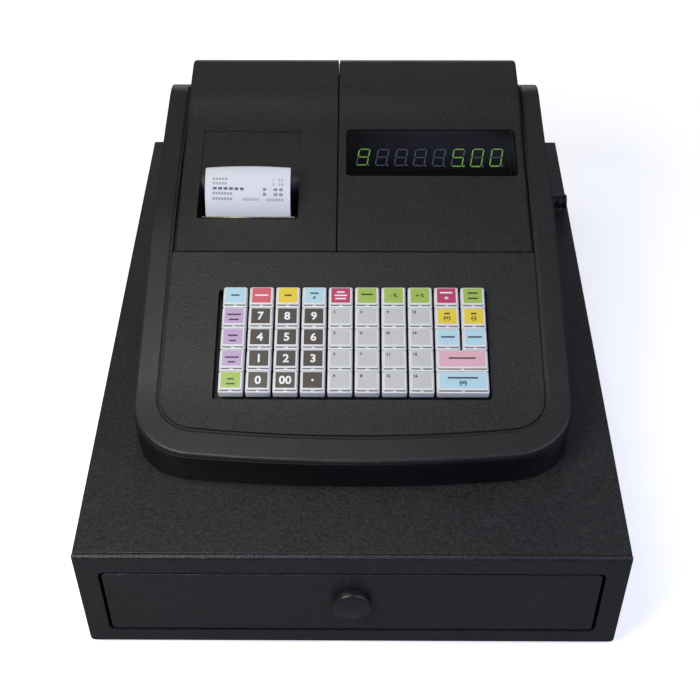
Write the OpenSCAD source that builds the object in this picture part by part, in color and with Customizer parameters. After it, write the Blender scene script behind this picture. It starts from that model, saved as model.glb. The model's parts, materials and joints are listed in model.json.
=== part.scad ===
// Electronic ticket register standing on its cash drawer cabinet.
// Millimetres. X runs to the right, Y to the back and Z up; the origin is on the
// surface that it stands on, below the middle of the whole outline.
// Every module measures Y from the front edge of the cabinet's cover.

/* [Cabinet] */
// Width of the cabinet
cab_w = 330; // [318:2:360]
// Depth of the cabinet's cover
cab_d = 420; // [415:5:460]
// Height of the cabinet's top above the floor
cab_h = 90; // [88:1:110]
// Thickness of the folded sheet steel
sheet_t = 1.5; // [1:0.1:2]
// Height of the rubber feet
foot_h = 4; // [3:0.5:6]
// Diameter of the rubber feet
foot_d = 18; // [12:1:24]
// Distance of each foot's centre from the sides of the cabinet
foot_inset = 32; // [24:1:50]
// Height of the cover's folded lip behind the front frame
lip_h = 5; // [3:0.5:8]
// How far the front frame stands in front of the cover
frame_proud = 3.4; // [3:0.1:4]
// Depth of the front frame's collar behind its face
frame_depth = 12; // [10:1:16]
// Rounding of the front frame's upper edge
frame_round = 2.4; // [1:0.1:2.4]
// Rounding of the front frame's other edges
frame_edge = 0.8; // [0.4:0.1:1.2]
// Radius of the front frame's lower corners
frame_corner_r = 3; // [2:0.5:6]
// Gap between the cover's front and the front frame
frame_gap = 0.6; // [0.4:0.1:0.9]
// Width of the front frame beside the opening
frame_side = 13.5; // [12:0.5:20]
// Height of the front frame above the opening
frame_high = 14.7; // [13:0.1:17]
// Height of the front frame below the opening
frame_low = 11.7; // [11:0.1:14]

/* [Drawer] */
// Corner radius of the opening in the front frame
opening_r = 4; // [3:0.5:6]
// Gap round the drawer's front panel
drawer_gap = 1.8; // [1:0.1:2.5]
// Thickness of the drawer's front panel
panel_t = 12; // [8:0.5:14]
// Space behind the steel drawer box
drawer_back = 41; // [36:1:60]
// Thickness of the drawer's steel
drawer_t = 1.2; // [1:0.1:1.5]
// Gap between the drawer box and the opening at each side
drawer_side_gap = 7.5; // [7:0.1:9]
// Height of the runner rail on the drawer's side
rail_h = 9; // [7:0.5:12]
// Running gap between the rail and its channel
rail_gap = 0.4; // [0.3:0.1:0.6]
// Diameter of the round lock cap
lock_d = 24; // [20:0.5:28]
// How far the lock cap stands out of the panel
lock_proud = 5.6; // [4:0.2:8]
// Height of the lock cap's middle above the panel's middle
lock_up = 1.8; // [0:0.2:6]
// Diameter of the lock cap's shank
lock_shank_d = 19; // [12:0.5:20]

/* [Cash tray] */
// Wall of the moulded tray
tray_t = 2; // [1.6:0.1:2.6]
// Depth of the tray
tray_h = 42; // [38:1:44]
// Number of note bays
note_bays = 3; // [3]
// Number of coin cups in a row
coin_cols = 4; // [3:1:5]
// Number of rows of coin cups
coin_rows = 2; // [1:1:3]
// Length of one coin cup
coin_l = 78; // [60:1:84]
// Width of a note clip's arm
clip_w = 26; // [18:1:34]
// Length of a note clip's arm
clip_l = 72; // [60:1:76]
// Radius of the note clip's hinge pin
clip_pin_r = 2; // [1.5:0.1:2.5]
// Radial running gap of the hinge pins and journals
pin_gap = 0.06; // [0.02:0.01:0.1]

/* [Register case] */
// Width of the register
reg_w = 274; // [272:1:290]
// Depth of the register
reg_d = 336; // [333:1:345]
// Distance of the register's front from the cabinet's front
reg_y = 51; // [40:1:65]
// Height of the lower case
base_h = 20.6; // [16:0.2:20.8]
// How far the upper case stands back above the lower case
case_inset = 0.4; // [0.2:0.1:0.8]
// Height of the rim above the cabinet at the front
front_h = 23; // [21:0.5:28]
// Slope of the rim in front of the keys
front_slope = 9.5; // [7:0.5:12]
// Slope of the deck under the keys
deck_slope = 17; // [15:0.5:19]
// Slope of the rim beside the covers
rear_slope = 7.4; // [5:0.2:10]
// Distance of the deck's upper bend from the register's front
bend_y = 180; // [176:1:190]
// Radius of the bowed front
bow_r = 950; // [700:10:1400]
// Radius of the front corners
corner_r = 40; // [34:1:44]
// Radius of the rear corners
rear_r = 9; // [6:0.5:12]
// Radius of the roll at the back of the rim
roll_r = 28; // [22:1:34]
// Rounding of the rim's upper edge
rim_round = 1.6; // [1:0.1:2]
// Width of the rim outside the cove beside the deck
rim_w = 13.6; // [12:0.2:14]
// How much wider the rim is at the front
rim_extra = 2.4; // [0:0.2:4]
// Width of the cove between the rim and the groove
cove_w = 2.2; // [1.4:0.1:2.2]
// Depth of the cove where it meets the groove
cove_d = 0.9; // [0.5:0.1:1.2]
// Width of the groove
groove_w = 1.1; // [0.8:0.1:1.1]
// Depth of the groove
groove_d = 1.7; // [1.2:0.1:1.8]
// Wall of the moulded cases
case_t = 2.5; // [2:0.1:3]
// Diameter of the screw posts
post_d = 9; // [7:0.5:12]

/* [Covers] */
// Distance of the covers' front seam from the register's front
seam_y = 151; // [148:1:156]
// Width across both covers
covers_w = 240; // [236:1:241]
// Offset of the seam between the two covers from the middle
seam_x = -11.2; // [-20:0.2:-5]
// Gap at the seam between the two covers
seam_gap = 0.9; // [0.8:0.1:1.6]
// Rounding of the covers' edges at that seam
seam_round = 0.4; // [0.3:0.1:1]
// Gap between the covers' front and the case
front_gap = 1.2; // [0.8:0.1:1.6]
// Gap between the covers' sides and the case
side_gap = 1; // [0.8:0.1:1.4]
// Running gap beside the tongue under the middle seam
tongue_gap = 0.4; // [0.3:0.05:0.5]
// Depth of that tongue's edge below the covers
tongue_drop = 3; // [2:0.2:4]
// Wall of the covers
cover_t = 2.2; // [1.8:0.1:2.6]
// How deep the covers sit in the case
seat_d = 5; // [4:0.2:6]
// Width of the ledge that carries the covers
ledge_w = 3; // [2:0.2:4]
// Length of the covers' steeper front strip
ramp_l = 22; // [18:1:25]
// Rise of the covers' front strip
ramp_rise = 5.3; // [4.8:0.1:6]
// Length of the flat panel with the display
panel_l = 98; // [94:1:104]
// Slope of the flat panel
panel_slope = 12.1; // [10:0.1:14]
// Length of the steep step behind the flat panel
step_l = 20; // [16:1:22]
// Rise of the steep step
step_rise = 8; // [7:0.2:9]
// Height of the ridge above the end of the flat panel
ridge_rise = 12.5; // [11:0.5:16]
// Radius of the roll at the back of the covers
ridge_r = 12; // [9:0.5:14]
// Rounding of the covers' outer edges
cover_round = 2.4; // [1.5:0.1:3]

/* [Display] */
// Width of the display window
window_w = 120; // [112:1:124]
// Length of the display window up the slope
window_l = 44.4; // [38:0.2:46]
// Offset of the window's middle from the register's middle
window_x = 54.5; // [52:0.5:56]
// Distance of the window's middle from the covers' front
window_dist = 86; // [84:0.5:88]
// Corner radius of the window
window_r = 3.5; // [2:0.5:6]
// Thickness of the window pane
window_t = 2; // [1.6:0.1:2.4]
// Width of the shelf that the pane lies on
window_shelf = 1.6; // [1:0.1:2.4]
// Distance of the circuit board below the window
board_drop = 12; // [11:0.5:14]
// Thickness of the circuit boards
board_t = 1.6; // [1:0.1:2]

/* [Keyboard] */
// Offset of the key field from the middle
keys_x = 0.6; // [-4:0.1:4]
// Pitch of the key columns
key_pitch_x = 17.1; // [16.6:0.1:17.6]
// Pitch of the key rows
key_pitch_s = 15.5; // [15.2:0.1:15.8]
// Width of a single key
key_w = 15.6; // [14:0.1:16]
// Length of a key up the slope
key_l = 15; // [14:0.1:15]
// How far the keys stand above the deck
key_rise = 6.5; // [5:0.1:8]
// Height of a key cap
key_h = 10.5; // [9:0.1:11]
// Depth of the ledge along a key's front
key_ledge = 1.45; // [1:0.05:2.5]
// Height of a key's clear cap above that ledge
key_step = 1.2; // [0.8:0.1:2]
// How far the clear cap is drawn in at the sides
key_inset = 0.45; // [0.3:0.05:0.8]
// Travel of a key
key_travel = 3.5; // [2.5:0.1:4]
// Side of the square key stem
stem_w = 6; // [4:0.2:7]
// Running gap round the key stem
stem_gap = 0.3; // [0.2:0.05:0.5]
// Gap behind the keys, to the edge of the deck's opening
well_back = 1.5; // [1:0.1:2.5]
// Gap in front of the keys, to the edge of the deck's opening
well_front = 2.4; // [1:0.1:3]
// Gap beside the outer keys, to the edge of the deck's opening
well_side = 2.8; // [1:0.1:3]
// Offset of that opening from the middle of the keys
well_x = -1.1; // [-1.5:0.1:1.5]
// Wall of the key well
well_wall = 2.2; // [1.8:0.1:3]
// Distance of the lowest row from the deck's front bend
key_s0 = 2; // [1:0.5:6]
// Thickness of the key plate
plate_t = 2; // [1.5:0.1:3]

/* [Printer] */
// Width of the paper
paper_w = 58; // [57:0.5:60]
// Offset of the paper's middle from the register's middle
paper_x = -72.3; // [-73:0.1:-71]
// Width of the recess in the printer cover
recess_w = 69; // [66:0.5:72]
// Length of the recess up the slope
recess_l = 79; // [74:0.5:82]
// Distance of the recess from the covers' front
recess_y = 27; // [25:0.5:29]
// Depth of the recess floor below the cover
recess_d = 1.2; // [0.8:0.1:2]
// Radius of the roll at the lower end of the recess floor
throat_r = 12; // [10:0.5:13]
// Radius of the platen roller
platen_r = 6.5; // [5:0.5:7]
// Radius of the platen's and the spindle's journals
journal_r = 3; // [2.5:0.1:3.5]
// Radius of the paper roll
roll_paper_r = 27; // [20:1:28]
// Thickness of the torn strip of paper
paper_t = 0.3; // [0.2:0.05:0.4]
// Radius of the strip's curl
curl_r = 27; // [22:1:32]
// Thickness of the printer's side cheeks
cheek_t = 2.5; // [2:0.1:3]
// Diameter of the gland in the right side wall
gland_d = 11; // [9:0.5:14]
// Length of the gland outside the wall
gland_l = 26; // [18:1:27]
// Distance of the gland from the register's back
gland_back = 55; // [40:1:80]

/* [Hidden] */
$fn = 48;
eps = 0.01;
total_front = frame_proud + lock_proud;
shift_y = -(cab_d - total_front) / 2;

// Cabinet, worked out
reach = reg_d / 2;
frame_back = -frame_gap;
collar_t = 2.5;
opening_w = cab_w - 2 * frame_side;
opening_z = foot_h + frame_low;
opening_h = cab_h - frame_high - opening_z;
opening_cz = opening_z + opening_h / 2;
lock_z = opening_cz + lock_up;
lock_hole_d = lock_shank_d + 0.4;
box_x = opening_w / 2 - drawer_side_gap;
rail_inset = 1.2;
rail_x = opening_w / 2 - rail_inset;
rail_start = 10;
box_y0 = panel_t - frame_proud;
box_y1 = cab_d - drawer_back;
box_lift = 3;
box_z0 = opening_z + box_lift;
box_headroom = 6;
box_z1 = opening_z + opening_h - box_headroom;
rail_z = box_z0 + 2.5;
base_z = foot_h + sheet_t;
base_gap = 0.3;
base_lip = 12;
inner_x = cab_w / 2 - sheet_t - base_gap;
channel_y0 = frame_depth + 1;
channel_y1 = cab_d - sheet_t - 14;
channel_t = 1.5;
channel_foot = 10;

// Cash tray, worked out
tray_gap = 0.8;
tray_x = box_x - drawer_t - tray_gap;
tray_y0 = box_y0 + drawer_t + tray_gap + 3;
tray_y1 = box_y1 - drawer_t - tray_gap;
tray_z0 = box_z0 + drawer_t;
tray_z1 = tray_z0 + tray_h;
notes_y0 = tray_y0 + tray_t + coin_rows * (coin_l + tray_t);
bay_w = (2 * tray_x - (note_bays + 1) * tray_t) / note_bays;
coin_w = (2 * tray_x - (coin_cols + 1) * tray_t) / coin_cols;
clip_z = tray_z1 - 9;
clip_y = tray_y1 - tray_t - 7;
clip_tip_z = tray_z0 + tray_t + 0.5;
clip_drop = asin((clip_z - clip_tip_z - clip_pin_r) / clip_l);
ear_t = 3;

// Register outline, worked out
reg_back = reg_y + reg_d;
half_w = reg_w / 2;
corner_y = reg_y + bow_r - sqrt(pow(bow_r - corner_r, 2) - pow(half_w - corner_r, 2));
corner_a = acos((half_w - corner_r) / (bow_r - corner_r));
bow_steps = 6;
corner_steps = 10;
rear_steps = 3;
round_steps = 3;

// Side line of the rim and deck: [y, z] pairs from front to back
rim_z0 = cab_h + front_h;
p_front = [reg_y, rim_z0];
p_bend1 = [corner_y, rim_z0 + (corner_y - reg_y) * tan(front_slope)];
p_bend2 = [reg_y + bend_y, p_bend1[1] + (reg_y + bend_y - corner_y) * tan(deck_slope)];
roll_cy = reg_back - roll_r;
roll_cz = p_bend2[1] + (roll_cy - roll_r * sin(rear_slope) - p_bend2[0]) * tan(rear_slope)
    - roll_r * cos(rear_slope);
roll_start = [roll_cy - roll_r * sin(rear_slope), roll_cz + roll_r * cos(rear_slope)];
rim_line = concat(
    [p_front],
    soft_bend(p_front, p_bend1, p_bend2, 14, 4),
    soft_bend(p_bend1, p_bend2, roll_start, 16, 4),
    arc_yz(roll_cy, roll_cz, roll_r, 90 + rear_slope, 0, 6)
);

// Side line of the covers: [y, z] pairs from the seam to the back wall
cover_y0 = reg_y + seam_y + front_gap / 2;
panel_y0 = cover_y0 + ramp_l;
panel_y1 = panel_y0 + panel_l;
c_front = [cover_y0, rim_height(cover_y0)];
c_panel0 = [panel_y0, c_front[1] + ramp_rise];
c_panel1 = [panel_y1, c_panel0[1] + (panel_y1 - panel_y0) * tan(panel_slope)];
c_step = [panel_y1 + step_l, c_panel1[1] + step_rise];
c_ridge = [reg_back - ridge_r, c_panel1[1] + ridge_rise];
cover_line = concat(
    [c_front],
    soft_bend(c_front, c_panel0, c_panel1, 10, 3),
    soft_bend(c_panel0, c_panel1, c_step, 9, 4),
    soft_bend(c_panel1, c_step, c_ridge, 8, 4),
    arc_yz(reg_back - ridge_r, c_ridge[1] - ridge_r, ridge_r, 90, 0, 6)
);
bay_x = covers_w / 2 + side_gap;
bay_y = reg_y + seam_y - front_gap / 2;

// Keys: name, column from the left, row from the front, columns spanned, shade
function dept(n) = [str("department_keys_", n), 3 + n, 0, 1, "gainsboro"];
KEYS = [
    ["key_feed", 0, 4, 1, "lightblue"],
    ["key_clear", 1, 4, 1, "indianred"],
    ["key_lookup", 2, 4, 1, "gold"],
    ["key_multiply", 3, 4, 1, "lightblue"],
    ["key_receipt", 4, 4, 1, "crimson"],
    ["key_clerk", 5, 4, 1, "yellowgreen"],
    ["key_minus_percent", 6, 4, 1, "yellowgreen"],
    ["key_plus_percent", 7, 4, 1, "yellowgreen"],
    ["key_no_sale", 8, 4, 1, "crimson"],
    ["key_mode", 9, 4, 1, "yellowgreen"],
    ["key_return", 0, 3, 1, "plum"],
    ["key_7", 1, 3, 1, "dimgray"],
    ["key_8", 2, 3, 1, "dimgray"],
    ["key_9", 3, 3, 1, "dimgray"],
    ["key_received", 8, 3, 1, "gold"],
    ["key_paid_out", 9, 3, 1, "gold"],
    ["key_void", 0, 2, 1, "plum"],
    ["key_4", 1, 2, 1, "dimgray"],
    ["key_5", 2, 2, 1, "dimgray"],
    ["key_6", 3, 2, 1, "dimgray"],
    ["key_check", 8, 2, 1, "lightblue"],
    ["key_charge", 9, 2, 1, "lightblue"],
    ["key_cancel", 0, 1, 1, "plum"],
    ["key_1", 1, 1, 1, "dimgray"],
    ["key_2", 2, 1, 1, "dimgray"],
    ["key_3", 3, 1, 1, "dimgray"],
    ["key_subtotal", 8, 1, 2, "pink"],
    ["key_tax", 0, 0, 1, "yellowgreen"],
    ["key_0", 1, 0, 1, "dimgray"],
    ["key_00", 2, 0, 1, "dimgray"],
    ["key_point", 3, 0, 1, "dimgray"],
    ["key_total", 8, 0, 2, "lightblue"]
];
DEPARTMENTS = [for (n = [1:4]) dept(n)];
dept_rows = 4;
key_cols = 10;
key_rows = 5;
keys_x0 = keys_x - (key_cols - 1) / 2 * key_pitch_x;
field_w = (key_cols - 1) * key_pitch_x + key_w;
field_l = (key_rows - 1) * key_pitch_s + key_l;
well_l = field_l + well_front + well_back;
plate_clear = 0.6;
plate_h = -(key_h - key_rise) - key_travel - plate_clear;
stem_l = key_travel + plate_clear + plate_t + 2;

// Display and printer places, worked out
window_y = cover_y0 + window_dist;
window_z = cover_height(window_y);
recess_y0 = cover_y0 + recess_y;
recess_y1 = recess_y0 + recess_l;
throat_y = recess_y0 + 30;
printer_x0 = -covers_w / 2;
printer_x1 = seam_x - seam_gap / 2;
display_x0 = seam_x + seam_gap / 2;
display_x1 = covers_w / 2;
inner_round = 0.6;
floor_z = cab_h + case_t;
printer_y0 = recess_y0 - 8;
printer_y1 = reg_back - 22;
printer_z0 = floor_z + 4;
paper_gap = 0.3;
paper_z0 = cover_height(recess_y0) - 11;
curl_z = cover_height(recess_y0) - 2;
cheek_x = paper_w / 2 + 2;
platen_y = recess_y0 + 14;
platen_z = cover_height(recess_y0) - 24;
spindle_y = printer_y1 - roll_paper_r - 4;
spindle_z = printer_z0 + 6 + roll_paper_r;
gland_y = reg_back - gland_back;
gland_z = cab_h + gland_d / 2 + 0.8;

CLIPS = [for (i = [1:note_bays]) str("note_clip_", i)];
FIXED = [
    "cabinet_cover", "cabinet_base", "front_frame", "cabinet_feet",
    "drawer_box", "drawer_front", "cash_tray", "lock_cap", "drawer_release",
    "lower_case", "upper_case", "display_cover", "display_window", "display_board",
    "key_plate", "printer_frame", "platen_roller", "paper_roll", "receipt_paper",
    "printer_cover", "cord_gland"
];

// ---------- Curves ----------

// Points of a soft bend at b, on the way from a to c, that starts and ends at length l from b
function soft_bend(a, b, c, l, n) =
    let (p = b + (a - b) / norm(a - b) * l, q = b + (c - b) / norm(c - b) * l)
    [for (i = [0:n]) let (t = i / n) (1 - t) * (1 - t) * p + 2 * t * (1 - t) * b + t * t * q];

// Points of an arc in the side view
function arc_yz(cy, cz, r, a0, a1, n) =
    [for (i = [0:n]) let (a = a0 + (a1 - a0) * i / n) [cy + r * cos(a), cz + r * sin(a)]];

// Height of the rim and deck at a distance from the cabinet's front
function rim_height(y) = lookup(y, rim_line);

// Height of the covers
function cover_height(y) = lookup(y, cover_line);

// Right half of the register's outline, drawn in by d, from the front middle to the back corner
function half_outline(d) = concat(
    [for (i = [0:bow_steps - 1])
        let (a = -90 + (90 - corner_a) * i / bow_steps)
        [(bow_r - d) * cos(a), reg_y + bow_r + (bow_r - d) * sin(a)]],
    [for (i = [0:corner_steps])
        let (a = -corner_a + corner_a * i / corner_steps)
        [half_w - corner_r + (corner_r - d) * cos(a), corner_y + (corner_r - d) * sin(a)]],
    [for (p = rim_line) if (p[0] > corner_y + 1 && p[0] < reg_back - rear_r - 1) [half_w - d, p[0]]],
    [for (i = [0:rear_steps])
        let (a = 90 * i / rear_steps, r = max(rear_r - d, 0.3))
        [half_w - d - r + r * cos(a), reg_back - d - r + r * sin(a)]]
);

function mirror_left(pts) = [for (i = [len(pts) - 1:-1:1]) [-pts[i][0], pts[i][1]]];
function outline(d) = let (h = half_outline(d)) concat(h, mirror_left(h));

module outline_2d(d) {
    polygon(outline(d));
}

// ---------- Helpers ----------

module placed() {
    translate([0, shift_y, 0]) children();
}

module block(x0, x1, y0, y1, z0, z1) {
    translate([x0, y0, z0]) cube([x1 - x0, y1 - y0, z1 - z0]);
}

// A side view drawn in Y and Z, drawn out from x0 to x1
module along_x(x0, x1) {
    translate([x0, 0, 0]) rotate([90, 0, 90]) linear_extrude(x1 - x0) children();
}

// A front view drawn in X and Z, drawn out from y0 to y1
module along_y(y0, y1) {
    translate([0, y1, 0]) rotate([90, 0, 0]) linear_extrude(y1 - y0) children();
}

module round_rect(w, h, r) {
    square([w - 2 * r, h], center = true);
    square([w, h - 2 * r], center = true);
    for (x = [-1, 1], y = [-1, 1]) translate([x * (w / 2 - r), y * (h / 2 - r)]) circle(r);
}

// A plate standing in X and Z with its front edges rounded
module soft_plate(w, h, t, r, edge, n = 3) {
    hull() {
        for (i = [0:n]) {
            a = 90 * i / n;
            inset = edge * (1 - sin(a));
            depth = edge * (1 - cos(a));
            translate([0, depth + eps, 0]) rotate([90, 0, 0]) linear_extrude(eps)
                round_poly(w - 2 * inset, h - 2 * inset, max(r - inset, 0.5));
        }
        translate([0, t, 0]) rotate([90, 0, 0]) linear_extrude(eps) round_poly(w, h, r);
    }
}

// A rounded rectangle whose corners are drawn in short chords
module round_poly(w, h, r, n = 5) {
    polygon([
        for (q = [0:3], i = [0:n])
            let (a = 90 * q + 90 * i / n, sx = (q == 0 || q == 3) ? 1 : -1, sy = q < 2 ? 1 : -1)
            [sx * (w / 2 - r) + r * cos(a), sy * (h / 2 - r) + r * sin(a)]
    ]);
}

// A place on the deck: x across, s up the slope from the lower bend, h out of the deck
module on_deck(x, s, h) {
    translate([0, p_bend1[0], p_bend1[1]]) rotate([deck_slope, 0, 0]) translate([x, s, h]) children();
}

// A place on the covers' flat panel, from the middle of the window
module on_panel(x, s, h) {
    translate([0, window_y, window_z]) rotate([panel_slope, 0, 0]) translate([x, s, h]) children();
}

// Flat faces between rings of equal length, closed below and above, whose points run
// from the front middle round the right side to the back and home by the left side
module ring_solid(rings) {
    m = len(rings[0]);
    n = (m - 1) / 2;
    top = (len(rings) - 1) * m;
    walls = [
        for (k = [0:len(rings) - 2], j = [0:m - 1])
            let (a = k * m + j, b = k * m + (j + 1) % m)
            each [[a, a + m, b], [b, a + m, b + m]]
    ];
    lid = [
        [top, top + m - 1, top + 1],
        for (i = [1:n - 1]) [top + i, top + m - i, top + m - i - 1, top + i + 1]
    ];
    bottom = [
        [0, 1, m - 1],
        for (i = [1:n - 1]) [i, i + 1, m - i - 1, m - i]
    ];
    polyhedron(points = [for (r = rings) each r], faces = concat(walls, lid, bottom), convexity = 6);
}

// The register's body: its outline drawn in by d, its top lowered by drop, from z = low up
module case_body(d, drop, low, edge) {
    steps = edge > 0 ? round_steps : 0;
    ring_solid(concat(
        [[for (p = outline(d)) [p[0], p[1], low]]],
        [for (k = [0:steps])
            let (a = steps == 0 ? 90 : 90 * k / steps, in = edge * (1 - cos(a)), sink = edge * (1 - sin(a)))
            [for (p = outline(d + in)) [p[0], p[1], rim_height(p[1]) - drop - sink]]]
    ));
}

// Side view of the space above the rim line lowered by drop
module above_rim(drop, y0, y1) {
    pts = [for (p = rim_line) if (p[0] > y0 + eps && p[0] < y1 - eps) [p[0], p[1] - drop]];
    polygon(concat(
        [[y0, cab_h + reach], [y0, rim_height(y0) - drop]],
        pts,
        [[y1, rim_height(y1) - drop], [y1, cab_h + reach]]
    ));
}

// The numbers of a list in rising order, each once
function rising(v) =
    len(v) < 2 ? v :
    let (mid = v[floor(len(v) / 2)])
    concat(rising([for (a = v) if (a < mid) a]), [mid], rising([for (a = v) if (a > mid) a]));

// A cover shell's outer form: from x0 to x1, its top on the covers' line lowered by drop and
// its foot on the rim's line lowered by sink, with its left and right edges rounded
module cover_body(x0, x1, inset, drop, sink, left, right) {
    y0 = cover_y0 + inset;
    y1 = reg_back - inset;
    inner_ys = rising([for (p = concat(cover_line, rim_line)) if (p[0] > y0 + 0.1 && p[0] < y1 - 0.1) p[0]]);
    ys = concat([y0], inner_ys, [y1]);
    n = 3;
    section_n = 2 * (n + 1) + 2;
    pts = [
        for (y = ys)
            let (
                zt = y > reg_back - inset - 0.1 ? cover_height(reg_back - 1.2) - drop : cover_height(y) - drop,
                zb = rim_height(y) - sink
            )
            each concat(
                [[x0 + inset, y, zb], [x1 - inset, y, zb]],
                [for (i = [0:n]) let (a = 90 * i / n)
                    [x1 - inset - right * (1 - cos(a)), y, zt - right * (1 - sin(a))]],
                [for (i = [n:-1:0]) let (a = 90 * i / n)
                    [x0 + inset + left * (1 - cos(a)), y, zt - left * (1 - sin(a))]]
            )
    ];
    sides = [
        for (k = [0:len(ys) - 2], j = [0:section_n - 1])
            let (a = k * section_n + j, b = k * section_n + (j + 1) % section_n)
            each [[a, b, a + section_n], [b, b + section_n, a + section_n]]
    ];
    front = [[for (j = [section_n - 1:-1:0]) j]];
    back = [[for (j = [0:section_n - 1]) (len(ys) - 1) * section_n + j]];
    polyhedron(points = pts, faces = concat(sides, front, back), convexity = 6);
}

// ---------- Cabinet ----------

module cabinet_cover() {
    color([0.2, 0.2, 0.2]) placed() difference() {
        block(-cab_w / 2, cab_w / 2, 0, cab_d, foot_h, cab_h);
        block(-cab_w / 2 + sheet_t, cab_w / 2 - sheet_t, sheet_t, cab_d - sheet_t, foot_h - 1, cab_h - sheet_t);
        block(-cab_w / 2 + sheet_t, cab_w / 2 - sheet_t, -1, sheet_t + 1, foot_h - 1, cab_h - lip_h);
    }
}

module channel_2d() {
    x_web = rail_x + rail_gap;
    z0 = rail_z - rail_gap;
    z1 = rail_z + rail_h + rail_gap;
    translate([x_web, base_z]) square([channel_t, z1 + channel_t - base_z]);
    translate([box_x + 1.5, z0 - channel_t]) square([x_web - box_x - 1, channel_t]);
    translate([box_x + 1.5, z1]) square([x_web - box_x - 1, channel_t]);
    translate([x_web, base_z]) square([channel_foot, channel_t]);
}

module cabinet_base() {
    y0 = sheet_t - frame_gap;
    y1 = cab_d - sheet_t - base_gap;
    color([0.16, 0.16, 0.17]) placed() {
        difference() {
            block(-inner_x, inner_x, y0, y1, foot_h, foot_h + base_lip);
            block(-inner_x + sheet_t, inner_x - sheet_t, y0 - 1, y1 - sheet_t, base_z, foot_h + base_lip + 1);
        }
        for (m = [0, 1]) mirror([m, 0, 0]) along_y(channel_y0, channel_y1) channel_2d();
    }
}

// Side view of the front frame's face, with its upper edge rounded
module frame_side_2d() {
    y0 = -frame_proud;
    polygon(concat(
        [[frame_back, foot_h - 1], [frame_back, cab_h]],
        arc_yz(y0 + frame_round, cab_h - frame_round, frame_round, 90, 180, 6),
        [[y0, foot_h - 1]]
    ));
}

module front_frame() {
    tall = cab_h - foot_h + frame_corner_r;
    thick = frame_proud - frame_gap;
    color([0.17, 0.165, 0.18]) placed() difference() {
        union() {
            intersection() {
                translate([0, -frame_proud, foot_h + tall / 2])
                    soft_plate(cab_w, tall, thick, frame_corner_r, frame_edge);
                along_x(-cab_w / 2, cab_w / 2) frame_side_2d();
            }
            along_y(frame_back - eps, frame_depth) translate([0, opening_cz])
                round_rect(opening_w + 2 * collar_t, opening_h + 2 * collar_t, opening_r + collar_t);
        }
        along_y(-frame_proud - 1, frame_depth + 1) translate([0, opening_cz])
            round_rect(opening_w, opening_h, opening_r);
    }
}

module cabinet_feet() {
    y_back = cab_d - foot_inset;
    color([0.08, 0.08, 0.08]) placed()
        for (x = [-1, 1], y = [foot_inset, y_back])
            translate([x * (cab_w / 2 - foot_inset), y, 0])
                cylinder(h = foot_h, d1 = foot_d - 2, d2 = foot_d);
}

// ---------- Drawer ----------

module rail_2d() {
    t = drawer_t;
    w = rail_x - box_x + eps;
    translate([box_x - eps, rail_z]) square([w, t]);
    translate([box_x - eps, rail_z + rail_h - t]) square([w, t]);
    translate([rail_x - t, rail_z]) square([t, rail_h]);
}

module drawer_box() {
    hem = 3;
    color([0.62, 0.62, 0.6]) placed() {
        difference() {
            block(-box_x, box_x, box_y0, box_y1, box_z0, box_z1);
            block(-box_x + drawer_t, box_x - drawer_t, box_y0 + drawer_t, box_y1 - drawer_t,
                box_z0 + drawer_t, box_z1 + 1);
            translate([0, box_y0 - 1, lock_z]) rotate([-90, 0, 0]) cylinder(h = hem, d = lock_hole_d);
        }
        for (m = [0, 1]) mirror([m, 0, 0]) {
            along_y(box_y0 + rail_start, box_y1) rail_2d();
            block(box_x - eps, box_x + hem, box_y0 + rail_start, box_y1, box_z1 - drawer_t, box_z1);
        }
    }
}

module drawer_front() {
    w = opening_w - 2 * drawer_gap;
    h = opening_h - 2 * drawer_gap;
    color([0.165, 0.16, 0.18]) placed() difference() {
        translate([0, -frame_proud, opening_cz]) soft_plate(w, h, panel_t, opening_r - drawer_gap + 1, 1.2);
        translate([0, -frame_proud - 1, lock_z]) rotate([-90, 0, 0])
            cylinder(h = panel_t + 2, d = lock_hole_d);
    }
}

module lock_cap() {
    nut_t = 3;
    color([0.1, 0.1, 0.11]) placed() translate([0, -frame_proud, lock_z]) rotate([-90, 0, 0]) {
        rotate_extrude() polygon([
            [0, -lock_proud],
            [lock_d / 2 - 1.6, -lock_proud],
            [lock_d / 2 - 0.5, -lock_proud + 0.5],
            [lock_d / 2, -lock_proud + 1.6],
            [lock_d / 2, 0],
            [lock_shank_d / 2, 0],
            [lock_shank_d / 2, panel_t + drawer_t],
            [0, panel_t + drawer_t]
        ]);
        translate([0, 0, panel_t + drawer_t]) cylinder(h = nut_t - 0.4, d = lock_shank_d + 6, $fn = 6);
    }
}

module coin_cup(x0, y0) {
    // The cup's floor rises in a scoop at its back, for sliding coins out with a finger
    scoop = tray_h - tray_t + 1;
    along_x(x0, x0 + coin_w) {
        intersection() {
            translate([y0 + coin_l - scoop, tray_z0 + tray_t + scoop]) circle(scoop, $fn = 64);
            translate([y0, tray_z0 + tray_t]) square([coin_l, tray_h]);
        }
        translate([y0, tray_z0 + tray_t]) square([coin_l - scoop, tray_h]);
    }
}

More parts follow.
